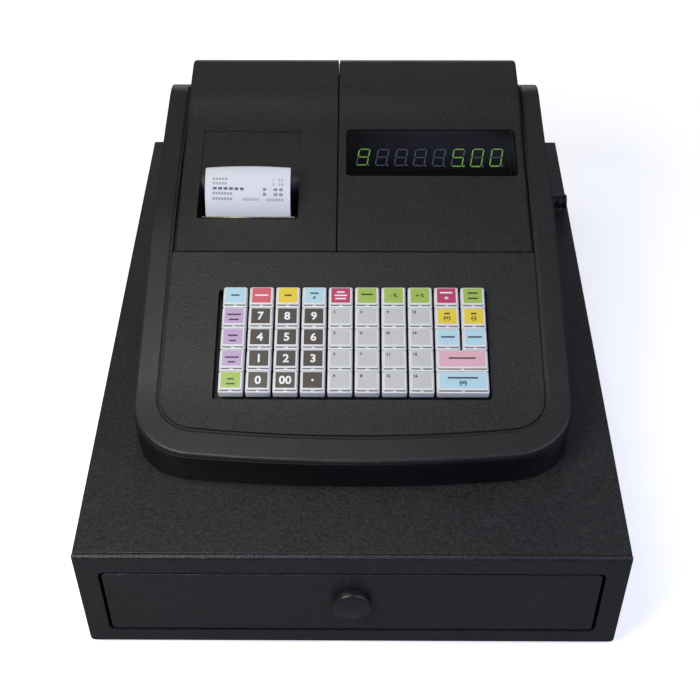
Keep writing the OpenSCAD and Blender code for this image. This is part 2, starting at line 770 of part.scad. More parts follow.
module cash_tray() {
    ear_x = clip_w / 2 + 1;
    color([0.13, 0.13, 0.14]) placed() {
        difference() {
            block(-tray_x, tray_x, tray_y0, tray_y1, tray_z0, tray_z1);
            for (i = [0:note_bays - 1])
                let (x0 = -tray_x + tray_t + i * (bay_w + tray_t))
                block(x0, x0 + bay_w, notes_y0, tray_y1 - tray_t, tray_z0 + tray_t, tray_z1 + 1);
            for (i = [0:coin_cols - 1], j = [0:coin_rows - 1])
                coin_cup(-tray_x + tray_t + i * (coin_w + tray_t), tray_y0 + tray_t + j * (coin_l + tray_t));
        }
        for (i = [0:note_bays - 1]) translate([bay_centre(i), 0, 0]) difference() {
            for (s = [-1, 1]) translate([s * (ear_x + ear_t / 2), 0, 0]) clip_ear();
            translate([-clip_w, clip_y, clip_z]) rotate([0, 90, 0])
                cylinder(h = 2 * clip_w, r = clip_pin_r + pin_gap);
        }
    }
}

module clip_ear() {
    block(-ear_t / 2, ear_t / 2, clip_y, tray_y1 - tray_t + eps, clip_z - 5, clip_z + 5);
    translate([-ear_t / 2, clip_y, clip_z]) rotate([0, 90, 0]) cylinder(h = ear_t, r = 5);
}

function bay_centre(i) = -tray_x + tray_t + bay_w / 2 + i * (bay_w + tray_t);

module note_clip(i) {
    pin_l = clip_w + 2 + 2 * ear_t - 1;
    pad_r = 3;
    color([0.85, 0.85, 0.85]) placed() translate([bay_centre(i), clip_y, clip_z]) {
        translate([-pin_l / 2, 0, 0]) rotate([0, 90, 0]) cylinder(h = pin_l, r = clip_pin_r);
        rotate([clip_drop, 0, 0]) difference() {
            union() {
                translate([-clip_w / 2, 0, 0]) rotate([0, 90, 0]) cylinder(h = clip_w, r = clip_pin_r + 1.6);
                translate([-clip_w / 2, -clip_l + pad_r, -0.9]) cube([clip_w, clip_l - pad_r, 1.8]);
                translate([-clip_w / 2, -clip_l + pad_r, 0.6]) rotate([0, 90, 0]) cylinder(h = clip_w, r = pad_r);
            }
            translate([-clip_w / 2 + 6, -clip_l + 14, -5]) cube([clip_w - 12, clip_l - 26, 10]);
        }
    }
}

module drawer_release() {
    y1 = cab_d - 2 * sheet_t - 0.6;
    w = 30;
    d = 22;
    h = 30;
    z0 = base_z;
    color([0.7, 0.6, 0.35]) placed() {
        block(-w / 2 - 6, w / 2 + 6, y1 - d - 3, y1, z0, z0 + 1.5);
        block(-w / 2 - 6, w / 2 + 6, y1 - 1.5, y1, z0, z0 + h + 4);
        translate([0, y1 - 1.5 - d / 2, z0 + 1.5]) cylinder(h = h - 6, d = d - 3);
        block(-w / 2, w / 2, y1 - d - 1, y1 - 1.5, z0 + h - 4.5, z0 + h - 2.5);
        translate([0, y1 - 1.5 - d / 2, z0 + h - 2.5]) cylinder(h = 7, d = 7);
    }
}

// ---------- Register case ----------

module screw_posts(low, high, hole) {
    px = half_w - case_t - post_d / 2 - 3.5;
    for (x = [-px, px], y = [corner_y + 6, reg_back - 24])
        translate([x, y, low]) difference() {
            cylinder(h = high, d = post_d);
            translate([0, 0, -1]) cylinder(h = high + 2, d = hole);
        }
}

module lower_case() {
    color([0.07, 0.07, 0.08]) placed() {
        difference() {
            translate([0, 0, cab_h]) linear_extrude(base_h) outline_2d(0);
            translate([0, 0, floor_z]) linear_extrude(base_h) outline_2d(case_t);
        }
        screw_posts(floor_z, base_h - case_t, 3.4);
        // Standoffs that carry the printer
        for (x = [-1, 1], y = [printer_y0 + 10, printer_y1 - 10])
            translate([paper_x + x * (cheek_x - 6), y, floor_z]) cylinder(h = printer_z0 - floor_z, d = 6);
    }
}

// A frame that stands down from the deck's underside round the covers' bay
module bay_frame() {
    web = 2.5;
    drop = seat_d + 2.5;
    intersection() {
        case_body(1, 0.8, cab_h + base_h, 0);
        along_x(-bay_x - web, bay_x + web) above_rim(drop, bay_y - web, reg_back - eps);
    }
}

// A line round the deck that is farther from the outline at the front than at the sides
module deck_line_2d(d) {
    translate([0, rim_extra]) outline_2d(d);
}

// The sloping cove inside the rim, and the groove between it and the deck
module deck_groove() {
    groove_out = rim_w + cove_w;
    slope_w = cove_w * 0.7;
    y_end = reg_back - rim_w - 8;
    intersection() {
        translate([0, 0, cab_h]) linear_extrude(reach) difference() {
            deck_line_2d(groove_out);
            deck_line_2d(groove_out + groove_w);
            translate([-half_w, y_end]) square([reg_w, reach]);
        }
        along_x(-half_w, half_w) above_rim(groove_d, reg_y + 1, reg_back - 1);
    }
    difference() {
        ring_solid([
            for (step = [[slope_w, -cove_d], [-slope_w, cove_d]])
                [for (p = outline(rim_w + step[0]))
                    [p[0], p[1] + rim_extra, rim_height(p[1] + rim_extra) + step[1]]]
        ]);
        translate([0, 0, cab_h]) linear_extrude(reach) deck_line_2d(groove_out + eps);
        translate([-half_w, y_end, cab_h]) cube([reg_w, reach, reach]);
    }
}

module key_opening(grow, h0, h1) {
    on_deck(keys_x + well_x, key_s0 - well_front + well_l / 2, h0) linear_extrude(h1 - h0)
        round_rect(field_w + 2 * (well_side + grow), well_l + 2 * grow, 2 + grow * 0.5);
}

module upper_case() {
    through_x = bay_x - ledge_w;
    through_y = bay_y + ledge_w;
    wall_low = cab_h + base_h;
    color([0.23, 0.23, 0.225]) placed() difference() {
        union() {
            difference() {
                case_body(case_inset, 0, wall_low, rim_round);
                case_body(case_t, case_t, wall_low - 1, 0);
            }
            bay_frame();
            // Walls of the key well, down to the key plate
            key_opening(well_wall, plate_h, -0.8);
            intersection() {
                screw_posts(wall_low, reach, 2.6);
                case_body(1, 0.8, wall_low, 0);
            }
        }
        // Bay of the covers, and the opening inside its ledge
        along_x(-bay_x, bay_x) above_rim(seat_d, bay_y, reg_back + 5);
        along_x(-through_x, through_x) above_rim(60, through_y, reg_back - case_t - 1);
        key_opening(0, plate_h - 5, 10);
        deck_groove();
    }
}

module display_cover() {
    tongue_x = printer_x1 + tongue_gap;
    color([0.21, 0.21, 0.205]) placed() difference() {
        union() {
            difference() {
                cover_body(display_x0, display_x1, 0, 0, seat_d, seam_round, cover_round);
                cover_body(display_x0, display_x1, cover_t, cover_t, seat_d + 4, inner_round, inner_round);
            }
            // Tongue that closes the middle seam from below
            intersection() {
                cover_body(tongue_x, display_x0 + cover_t / 2, 0, tongue_drop, seat_d - 0.5, 0.2, 0.2);
                block(tongue_x - 1, display_x0 + cover_t, cover_y0 + 1, reg_back - tongue_drop / 2,
                    cab_h, cab_h + reach);
            }
            // Boss round the window and the posts of the display board
            intersection() {
                on_panel(window_x, 0, -window_t - 2) linear_extrude(window_t + 1)
                    round_rect(window_w + 5, window_l + 5, window_r + 2);
                cover_body(display_x0, display_x1, 1, 1, seat_d, inner_round, inner_round);
            }
            for (x = [-1, 1], s = [-1, 1])
                on_panel(window_x + x * (window_w / 2 - 3), s * (window_l / 2 - 3), -board_drop)
                    cylinder(h = board_drop - window_t - 1.2, d = 5);
        }
        on_panel(window_x, 0, -window_t - 0.3) linear_extrude(window_t + 5)
            round_rect(window_w, window_l, window_r);
        on_panel(window_x, 0, -window_t - 4) linear_extrude(window_t + 5)
            round_rect(window_w - 2 * window_shelf - 8, window_l - 2 * window_shelf - 4, window_r);
    }
}

module display_window() {
    fit = 0.25;
    color([0.06, 0.06, 0.09]) placed()
        on_panel(window_x, 0, -window_t - 0.3) linear_extrude(window_t)
            round_rect(window_w - 2 * fit, window_l - 2 * fit, window_r - fit);
}

module display_board() {
    module_h = board_drop - window_t - 3.5;
    color([0.1, 0.3, 0.16]) placed() {
        on_panel(window_x, 0, -board_drop - board_t) linear_extrude(board_t)
            square([window_w - 1, window_l - 1], center = true);
        on_panel(window_x, 0, -board_drop) linear_extrude(module_h)
            square([window_w - 14, window_l - 16], center = true);
    }
}

module cord_gland() {
    rib_n = 5;
    rib_w = 2.6;
    flange = 3;
    core_d = gland_d - 1.6;
    step = (gland_l - flange) / rib_n;
    color([0.05, 0.05, 0.05]) placed() translate([half_w, gland_y, gland_z]) rotate([0, 90, 0]) {
        cylinder(h = flange, d = gland_d);
        cylinder(h = gland_l, d = core_d);
        for (i = [1:rib_n]) translate([0, 0, flange + i * step - rib_w]) cylinder(h = rib_w, d = gland_d - 0.6);
    }
}

// ---------- Keyboard ----------

// One key: w wide, with a skirt, a ledge along its front and a clear cap on top
module key_cap(w) {
    low = -(key_h - key_rise);
    soft = 0.4;
    ledge_h = key_rise - key_step;
    cap_x = w / 2 - key_inset;
    intersection() {
        along_x(-w / 2, w / 2) polygon([
            [0, low],
            [0, ledge_h - soft],
            [soft, ledge_h],
            [key_ledge, ledge_h],
            [key_ledge + soft / 2, key_rise - soft],
            [key_ledge + 2 * soft, key_rise],
            [key_l - 2 * soft, key_rise],
            [key_l - soft, key_rise - soft],
            [key_l, ledge_h],
            [key_l, low]
        ]);
        along_y(0, key_l) polygon([
            [-w / 2, low],
            [w / 2, low],
            [w / 2, ledge_h - soft],
            [cap_x, ledge_h],
            [cap_x, key_rise - soft],
            [cap_x - soft, key_rise],
            [-cap_x + soft, key_rise],
            [-cap_x, key_rise - soft],
            [-cap_x, ledge_h],
            [-w / 2, ledge_h - soft]
        ]);
        translate([0, key_l / 2, low - 1]) linear_extrude(key_h + 2) round_rect(w, key_l, 1.2);
    }
}

module key_stem(x) {
    low = -(key_h - key_rise);
    translate([x - stem_w / 2, key_l / 2 - stem_w / 2, low - stem_l]) cube([stem_w, stem_w, stem_l]);
}

// A key and its stems; a wide key covers several columns and has a stem at each
module key(col, row, span) {
    w = key_w + (span - 1) * key_pitch_x;
    on_deck(keys_x0 + (col + (span - 1) / 2) * key_pitch_x, key_s0 + row * key_pitch_s, 0) {
        key_cap(w);
        for (i = [0:span - 1]) key_stem((i - (span - 1) / 2) * key_pitch_x);
    }
}

module key_plate() {
    hole = stem_w + 2 * stem_gap;
    edge_x = field_w / 2 + well_side + well_wall;
    color([0.3, 0.3, 0.32]) placed() on_deck(0, key_s0, plate_h - plate_t) difference() {
        translate([keys_x + well_x - edge_x, -well_front - well_wall, 0])
            cube([2 * edge_x, well_l + 2 * well_wall, plate_t]);
        for (c = [0:key_cols - 1], r = [0:key_rows - 1])
            translate([keys_x0 + c * key_pitch_x - hole / 2, r * key_pitch_s + key_l / 2 - hole / 2, -1])
                cube([hole, hole, plate_t + 2]);
    }
}

// ---------- Printer ----------

// Side view of the recess floor: flat, then rolled down into the paper's throat
module recess_floor_2d(grow) {
    y_end = recess_y1;
    z_end = cover_height(y_end) - recess_d;
    z_roll = cover_height(throat_y + throat_r) - recess_d;
    a = panel_slope;
    outer = arc_yz(throat_y + throat_r, z_roll - throat_r, throat_r, 90 + a, 180, 6);
    inner_r = throat_r - cover_t;
    inner = arc_yz(throat_y + throat_r, z_roll - throat_r, inner_r, 180, 90 + a, 6);
    polygon(concat(
        [[y_end + grow, z_end + grow * tan(a)]],
        outer,
        [[throat_y, z_roll - throat_r - 3], [throat_y + cover_t, z_roll - throat_r - 3]],
        inner,
        [[y_end + grow, z_end - cover_t / cos(a) + grow * tan(a)]]
    ));
}

module printer_cover() {
    x0 = paper_x - recess_w / 2;
    x1 = paper_x + recess_w / 2;
    lift = 0.3;
    hinge_y = reg_back - ridge_r;
    wall = 1.8;
    color([0.21, 0.21, 0.205]) placed() {
        difference() {
            cover_body(printer_x0, printer_x1, 0, 0, seat_d - lift, cover_round, seam_round);
            cover_body(printer_x0, printer_x1, cover_t, cover_t, seat_d + 4, inner_round, inner_round);
            block(x0, x1, recess_y0, recess_y1, cab_h, cab_h + reach);
        }
        // Floor of the recess and the cheeks at both sides of the throat
        along_x(x0 - wall, x1 + wall) recess_floor_2d(1);
        intersection() {
            union() {
                block(x0 - wall, x0, recess_y0 - wall, recess_y1, platen_z + 9, cab_h + reach);
                block(x1, x1 + wall, recess_y0 - wall, recess_y1, platen_z + 9, cab_h + reach);
                block(x0 - wall, x1 + wall, recess_y0 - wall, recess_y0, platen_z + 12, cab_h + reach);
            }
            cover_body(printer_x0, printer_x1, 0.5, 0.4, seat_d + 20, 0.4, 0.4);
        }
    }
}

module cheek_2d() {
    top = platen_z + 8;
    rear_top = spindle_z + 8;
    polygon([
        [printer_y0, printer_z0],
        [printer_y1, printer_z0],
        [printer_y1, rear_top],
        [spindle_y - 16, rear_top],
        [platen_y + 26, platen_z - 12],
        [platen_y + 12, top],
        [platen_y - 10, top],
        [printer_y0, platen_z - 8]
    ]);
}

module printer_frame() {
    w = cheek_x + cheek_t;
    journal = journal_r + pin_gap;
    color([0.45, 0.45, 0.47]) placed() translate([paper_x, 0, 0]) difference() {
        union() {
            block(-w, w, printer_y0, printer_y1, printer_z0, printer_z0 + 2);
            for (x = [-w, cheek_x]) along_x(x, x + cheek_t) cheek_2d();
            block(-cheek_x - eps, cheek_x + eps, printer_y0 + 2, platen_y - platen_r - 2.5,
                platen_z - 26, platen_z + 2);
        }
        translate([-w - 1, platen_y, platen_z]) rotate([0, 90, 0]) cylinder(h = 2 * w + 2, r = journal);
        translate([-w - 1, spindle_y, spindle_z]) rotate([0, 90, 0]) cylinder(h = 2 * w + 2, r = journal);
        block(-w - 1, w + 1, spindle_y - journal, spindle_y + journal, spindle_z, spindle_z + 20);
    }
}

module platen_roller() {
    l = paper_w + 1;
    shaft_l = 2 * (cheek_x + cheek_t) + 6;
    gear_r = 8;
    gear_w = 4;
    teeth = 18;
    color([0.12, 0.12, 0.12]) placed() translate([paper_x, platen_y, platen_z]) rotate([0, 90, 0]) {
        translate([0, 0, -l / 2]) cylinder(h = l, r = platen_r);
        translate([0, 0, -shaft_l / 2]) cylinder(h = shaft_l, r = journal_r);
        // Drive gear outside the right cheek
        translate([0, 0, cheek_x + cheek_t + 0.8]) linear_extrude(gear_w) difference() {
            circle(gear_r);
            for (i = [0:teeth - 1]) rotate(i * 360 / teeth) translate([gear_r, 0]) circle(0.8, $fn = 8);
        }
    }
}

module paper_roll() {
    spindle_l = 2 * (cheek_x + cheek_t) + 2;
    core_r = 7;
    color([0.93, 0.93, 0.91]) placed() translate([paper_x, spindle_y, spindle_z]) rotate([0, 90, 0]) {
        difference() {
            translate([0, 0, -paper_w / 2]) cylinder(h = paper_w, r = roll_paper_r);
            for (s = [-1, 1]) translate([0, 0, s * paper_w / 2 - 1.5]) difference() {
                cylinder(h = 3, r = core_r + 1.2);
                translate([0, 0, -1]) cylinder(h = 5, r = core_r);
            }
        }
        translate([0, 0, -spindle_l / 2]) cylinder(h = spindle_l, r = journal_r);
    }
}

module receipt_paper() {
    // A strip that leaves the throat upright along its front edge and curls back in an arc
    y0 = recess_y0 + paper_gap;
    tip = 85;
    curl = arc_yz(y0 + curl_r, curl_z, curl_r, 180, 180 - tip, 10);
    under = arc_yz(y0 + curl_r, curl_z, curl_r - paper_t, 180 - tip, 180, 10);
    color([0.96, 0.96, 0.97]) placed() along_x(paper_x - paper_w / 2, paper_x + paper_w / 2)
        polygon(concat([[y0, paper_z0]], curl, under, [[y0 + paper_t, paper_z0]]));
}

// ---------- The pieces ----------

cabinet_cover();
cabinet_base();
front_frame();
cabinet_feet();
drawer_box();
drawer_front();
cash_tray();
lock_cap();
drawer_release();
lower_case();
upper_case();
display_cover();
display_window();
display_board();
key_plate();
printer_frame();
platen_roller();
paper_roll();
receipt_paper();
printer_cover();
cord_gland();

for (i = [0:note_bays - 1])
    note_clip(i);

for (k = KEYS)
    color(k[4]) placed() key(k[1], k[2], k[3]);

// Each column of department keys is one node
for (k = DEPARTMENTS)
    color(k[4]) placed() for (r = [0:dept_rows - 1]) key(k[1], r, k[3]);
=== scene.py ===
# %% [markdown]
# # A small electronic cash register on its drawer cabinet
#
# The register is a set of moulded plastic shells on a folded steel cabinet. Every solid piece
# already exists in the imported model, at its real size and place. This file gives the pieces their
# finish: rounded edges, grain, printed key labels, lit digits and paper. Each step first says what
# the piece is on the real object and why it is made the way it is.

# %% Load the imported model
import bpy
import bmesh
import json
import math
from mathutils import Matrix, Vector


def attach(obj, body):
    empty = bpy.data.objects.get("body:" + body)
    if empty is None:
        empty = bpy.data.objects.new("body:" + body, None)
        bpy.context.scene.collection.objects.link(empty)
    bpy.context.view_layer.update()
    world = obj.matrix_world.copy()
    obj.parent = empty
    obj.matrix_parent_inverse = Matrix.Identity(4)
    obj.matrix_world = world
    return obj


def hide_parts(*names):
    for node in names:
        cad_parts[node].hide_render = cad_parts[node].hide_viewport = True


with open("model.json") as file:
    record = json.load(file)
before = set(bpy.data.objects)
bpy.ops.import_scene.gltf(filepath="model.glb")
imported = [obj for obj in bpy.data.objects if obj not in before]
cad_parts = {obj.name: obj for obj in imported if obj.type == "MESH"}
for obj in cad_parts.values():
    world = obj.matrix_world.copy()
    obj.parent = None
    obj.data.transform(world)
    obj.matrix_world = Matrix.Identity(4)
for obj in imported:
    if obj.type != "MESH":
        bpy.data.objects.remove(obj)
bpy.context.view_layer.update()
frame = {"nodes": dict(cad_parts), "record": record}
nodes = frame["nodes"]
MM = 0.001
print("pieces in the packed model:", len(nodes))

# %% [markdown]
# Two helpers carry most of the file. The first turns points and faces into a mesh object with its
# materials. The second sends a finished piece to the body that it moves with, and says which packed
# pieces it stands for.

# %% Make a mesh object, and hand it to its body
def mesh_object(name, verts, faces, materials, face_material=None, smooth=True):
    mesh = bpy.data.meshes.new(name)
    mesh.from_pydata([tuple(v) for v in verts], [], faces)
    for material in materials:
        mesh.materials.append(material)
    if face_material:
        mesh.polygons.foreach_set("material_index", face_material)
    mesh.polygons.foreach_set("use_smooth", [smooth] * len(mesh.polygons))
    mesh.update()
    obj = bpy.data.objects.new(name, mesh)
    bpy.context.scene.collection.objects.link(obj)
    return obj


def hand_over(obj, body, finish, *stands_for):
    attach(obj, body)
    if stands_for:
        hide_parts(*stands_for)
    return obj


BODY_OF = {n: b for b, ns in frame["record"]["behaviour"]["bodies"].items() for n in ns}
SLOT_OF = {s["node"]: s["material_slot"] for s in frame["record"]["subparts"]}

# %% [markdown]
# The camera stands in front of the object and a little left of its middle, and looks down at
# about 44 degrees. Its place and direction follow from the straight edges of the cabinet and of
# the key field, so the picture needs no shift and no blur.

# %% Camera
CAMERA_AT = Vector((4.076, -663.405, 697.259)) * MM
CAMERA_PITCH = math.radians(43.921)
CAMERA_YAW = math.radians(-0.570)
CAMERA_ROLL = math.radians(-0.241)
FOCAL_LENGTH = 65.75


def camera_turn():
    ahead = Vector((math.sin(CAMERA_YAW) * math.cos(CAMERA_PITCH),
                    math.cos(CAMERA_YAW) * math.cos(CAMERA_PITCH),
                    -math.sin(CAMERA_PITCH)))
    level = Vector((math.cos(CAMERA_YAW), -math.sin(CAMERA_YAW), 0))
    up = level.cross(ahead)
    right = math.cos(CAMERA_ROLL) * level + math.sin(CAMERA_ROLL) * up
    top = math.cos(CAMERA_ROLL) * up - math.sin(CAMERA_ROLL) * level
    return Matrix((right, top, -ahead)).transposed()


camera = bpy.data.cameras.new("camera")
camera.lens = FOCAL_LENGTH
camera.clip_start = 0.02
camera_object = bpy.data.objects.new("camera", camera)
camera_object.matrix_world = Matrix.Translation(CAMERA_AT) @ camera_turn().to_4x4()
bpy.context.scene.collection.objects.link(camera_object)
bpy.context.scene.camera = camera_object
print("camera at", tuple(round(c, 3) for c in CAMERA_AT))

# %% [markdown]
# Black plastic shows little of its own colour: most of what the eye sees is the room in its
# surface. So the room is built for what each face mirrors. The deck mirrors what is overhead, the
# covers and the steel top what is behind and above, the upright faces the floor in front. Near
# lamps make the front of each face lighter than its back. The world and the floor show as white
# only to the camera, so the background is bright without more light on the object.

# %% Floor, world and lamps
ROOM_DIM = (0.075, 0.075, 0.077)
ROOM_AREAS = (((0, 1, 0.12), 0.94, 0.995, (1.6, 1.6, 1.65)),
              ((0.06, 0.52, 0.85), 0.93, 0.985, (0.15, 0.15, 0.26)))
LAMPS = (
    ("key_lamp", (-0.55, -0.6, 0.8), 0.5, 6.7, (1.0, 1.0, 0.9)),
    ("top_lamp", (-0.2, -0.1, 0.9), 0.35, 1.5, (1.0, 1.0, 0.92)),
    ("right_lamp", (0.6, -0.4, 0.8), 0.5, 1.5, (1.0, 1.0, 0.9)),
    ("side_lamp", (1.6, -0.2, 0.75), 0.6, 3.6, (0.75, 0.9, 1.4)),
    ("front_lamp", (0.1, -0.75, 0.75), 0.4, 1.1, (0.1, 0.1, 1.0)),
    ("glint_lamp", (0.8, -0.55, 0.35), 0.2, 0.7, (0.12, 0.25, 1.0)),
)
LAMP_TARGET = (0, 0, 0.1)
FLOOR_SIZE = 12.0
FLOOR_WHITE = 0.93
FLOOR_GREY = 0.3
FLOOR_GLOW = 0.6
FLOOR_GLOW_FAR = 1.0
GLOW_BEGINS, GLOW_FULL = 0.4, 1.4


def soft_area(tree, view, way, begin, full, colour):
    """The light of one soft round area of the room, seen along a direction."""
    toward = tree.nodes.new("ShaderNodeVectorMath")
    toward.operation = "DOT_PRODUCT"
    toward.inputs[1].default_value = Vector(way).normalized()
    tree.links.new(view, toward.inputs[0])
    rise = tree.nodes.new("ShaderNodeMapRange")
    rise.interpolation_type = "SMOOTHSTEP"
    rise.inputs["From Min"].default_value = begin
    rise.inputs["From Max"].default_value = full
    tree.links.new(toward.outputs["Value"], rise.inputs["Value"])
    light = tree.nodes.new("ShaderNodeVectorMath")
    light.operation = "SCALE"
    light.inputs[0].default_value = colour
    tree.links.new(rise.outputs["Result"], light.inputs["Scale"])
    return light.outputs["Vector"]


def studio_world():
    world = bpy.data.worlds.new("studio")
    world.use_nodes = True
    tree = world.node_tree
    tree.nodes.clear()
    view = tree.nodes.new("ShaderNodeTexCoord").outputs["Generated"]
    room = tree.nodes.new("ShaderNodeVectorMath")
    room.inputs[0].default_value = ROOM_DIM
    for area in ROOM_AREAS:
        tree.links.new(soft_area(tree, view, *area), room.inputs[1])
        total = room
        room = tree.nodes.new("ShaderNodeVectorMath")
        tree.links.new(total.outputs["Vector"], room.inputs[0])
    light = tree.nodes.new("ShaderNodeBackground")
    tree.links.new(room.outputs["Vector"], light.inputs["Color"])
    white = tree.nodes.new("ShaderNodeBackground")
    white.inputs["Color"].default_value = (1, 1, 1, 1)
    mix = tree.nodes.new("ShaderNodeMixShader")
    tree.links.new(tree.nodes.new("ShaderNodeLightPath").outputs["Is Camera Ray"], mix.inputs[0])
    tree.links.new(light.outputs[0], mix.inputs[1])
    tree.links.new(white.outputs[0], mix.inputs[2])
    tree.links.new(mix.outputs[0], tree.nodes.new("ShaderNodeOutputWorld").inputs["Surface"])
    bpy.context.scene.world = world


def soft_lamp(name, place, size, power, colour):
    lamp = bpy.data.lights.new(name, "AREA")
    lamp.shape = "DISK"
    lamp.size = size
    lamp.energy = power
    lamp.color = colour
    obj = bpy.data.objects.new(name, lamp)
    obj.location = place
    obj.rotation_euler = (Vector(LAMP_TARGET) - Vector(place)).to_track_quat("-Z", "Y").to_euler()
    bpy.context.scene.collection.objects.link(obj)


def pale_floor():
    """White under its shadow to the camera, grey to the faces that mirror it."""
    half = FLOOR_SIZE / 2
    material = bpy.data.materials.new("pale_floor")
    material.use_nodes = True
    tree = material.node_tree
    shader = tree.nodes["Principled BSDF"]
    seen = tree.nodes.new("ShaderNodeLightPath").outputs["Is Camera Ray"]
    shade = tree.nodes.new("ShaderNodeMix")
    shade.data_type = "RGBA"
    shade.inputs["A"].default_value = (FLOOR_GREY, FLOOR_GREY, FLOOR_GREY, 1)
    shade.inputs["B"].default_value = (FLOOR_WHITE, FLOOR_WHITE, FLOOR_WHITE, 1)
    tree.links.new(seen, shade.inputs["Factor"])
    tree.links.new(shade.outputs["Result"], shader.inputs["Base Color"])
    shader.inputs["Roughness"].default_value = 0.9
    shader.inputs["Specular IOR Level"].default_value = 0.1
    shader.inputs["Emission Color"].default_value = (1, 1, 1, 1)
    away = tree.nodes.new("ShaderNodeVectorMath")
    away.operation = "LENGTH"
    tree.links.new(tree.nodes.new("ShaderNodeTexCoord").outputs["Object"], away.inputs[0])
    rise = tree.nodes.new("ShaderNodeMapRange")
    for name, value in (("From Min", GLOW_BEGINS), ("From Max", GLOW_FULL),
                        ("To Min", FLOOR_GLOW), ("To Max", FLOOR_GLOW_FAR)):
        rise.inputs[name].default_value = value
    tree.links.new(away.outputs["Value"], rise.inputs["Value"])
    glow = tree.nodes.new("ShaderNodeMath")
    glow.operation = "MULTIPLY"
    tree.links.new(seen, glow.inputs[0])
    tree.links.new(rise.outputs["Result"], glow.inputs[1])
    tree.links.new(glow.outputs[0], shader.inputs["Emission Strength"])
    corners = [(-half, -half, 0), (half, -half, 0), (half, half, 0), (-half, half, 0)]
    mesh_object("floor", corners, [(0, 1, 2, 3)], [material], smooth=False)


studio_world()
for lamp in LAMPS:
    soft_lamp(*lamp)
pale_floor()
bpy.context.scene.view_settings.view_transform = "Standard"
print("lamps:", len(LAMPS), "soft areas of the room:", len(ROOM_AREAS))

# %% [markdown]
# Moulded plastic and powder coat share one recipe. A fine cellular bump stands for the grain of
# the mould, a broad noise shifts the tone a little from place to place, and the same noise makes
# hands-worn patches slightly smoother. All of it reads Object coordinates, which are metres here,
# so a scale of 1000 is one grain per millimetre.

# %% A grained surface
def new_material(name):
    material = bpy.data.materials.new(name)
    material.use_nodes = True
    tree = material.node_tree
    shader = tree.nodes["Principled BSDF"]
    place = tree.nodes.new("ShaderNodeTexCoord").outputs["Object"]
    return material, tree, shader, place


def noise(tree, place, scale, detail=2.0, roughness=0.5):
    node = tree.nodes.new("ShaderNodeTexNoise")
    node.inputs["Scale"].default_value = scale
    node.inputs["Detail"].default_value = detail
    node.inputs["Roughness"].default_value = roughness
    tree.links.new(place, node.inputs["Vector"])
    return node.outputs["Fac"]


def spread(tree, value, low, high, from_low=0.3, from_high=0.7):
    node = tree.nodes.new("ShaderNodeMapRange")
    node.inputs["From Min"].default_value = from_low
    node.inputs["From Max"].default_value = from_high
    node.inputs["To Min"].default_value = low
    node.inputs["To Max"].default_value = high
    tree.links.new(value, node.inputs["Value"])
    return node.outputs["Result"]


def tone(tree, factor, dark, light):
    node = tree.nodes.new("ShaderNodeMix")
    node.data_type = "RGBA"
    node.inputs["A"].default_value = (*dark, 1)
    node.inputs["B"].default_value = (*light, 1)
    tree.links.new(factor, node.inputs["Factor"])
    return node.outputs["Result"]


def bump(tree, height, depth, strength=1.0, under=None):
    node = tree.nodes.new("ShaderNodeBump")
    node.inputs["Strength"].default_value = strength
    node.inputs["Distance"].default_value = depth
    tree.links.new(height, node.inputs["Height"])
    if under:
        tree.links.new(under, node.inputs["Normal"])
    return node.outputs["Normal"]


def grained(name, colour, rough, grain, depth, mottle=0.16, metallic=0.0, patch=14.0):
    material, tree, shader, place = new_material(name)
    fine = noise(tree, place, grain, 3.0, 0.6)
    broad = noise(tree, place, patch, 2.0)
    dark = [c * (1 - mottle) for c in colour]
    light = [c * (1 + mottle) for c in colour]
    tree.links.new(tone(tree, spread(tree, fine, 0, 1), dark, light), shader.inputs["Base Color"])
    tree.links.new(spread(tree, broad, rough - 0.04, rough + 0.05), shader.inputs["Roughness"])
    tree.links.new(bump(tree, fine, depth), shader.inputs["Normal"])
    shader.inputs["Metallic"].default_value = metallic
    return material


# %% [markdown]
# The display's pane is clear plastic with a dark tint, so it needs real transmission. It is a thin
# pane with both its faces modelled, and its surface is polished but for faint wiping marks.

# %% Smoked clear plastic
def smoked(name, tint):
    material, tree, shader, place = new_material(name)
    shader.inputs["Transmission Weight"].default_value = 1.0
    shader.inputs["IOR"].default_value = 1.49
    wipes = noise(tree, place, 35, 3.0)
    dark = [c * 0.95 for c in tint]
    tree.links.new(tone(tree, spread(tree, wipes, 0, 1), dark, tint), shader.inputs["Base Color"])
    tree.links.new(spread(tree, wipes, 0.02, 0.05), shader.inputs["Roughness"])
    tree.links.new(bump(tree, noise(tree, place, 40), 0.0000005), shader.inputs["Normal"])
    return material


# %% [markdown]
# The dark finishes differ in their grain. The deck and covers have a fine leather-like pebble,
# the cabinet a slightly coarser powder coat, the skirt and the drawer's front a smooth satin.

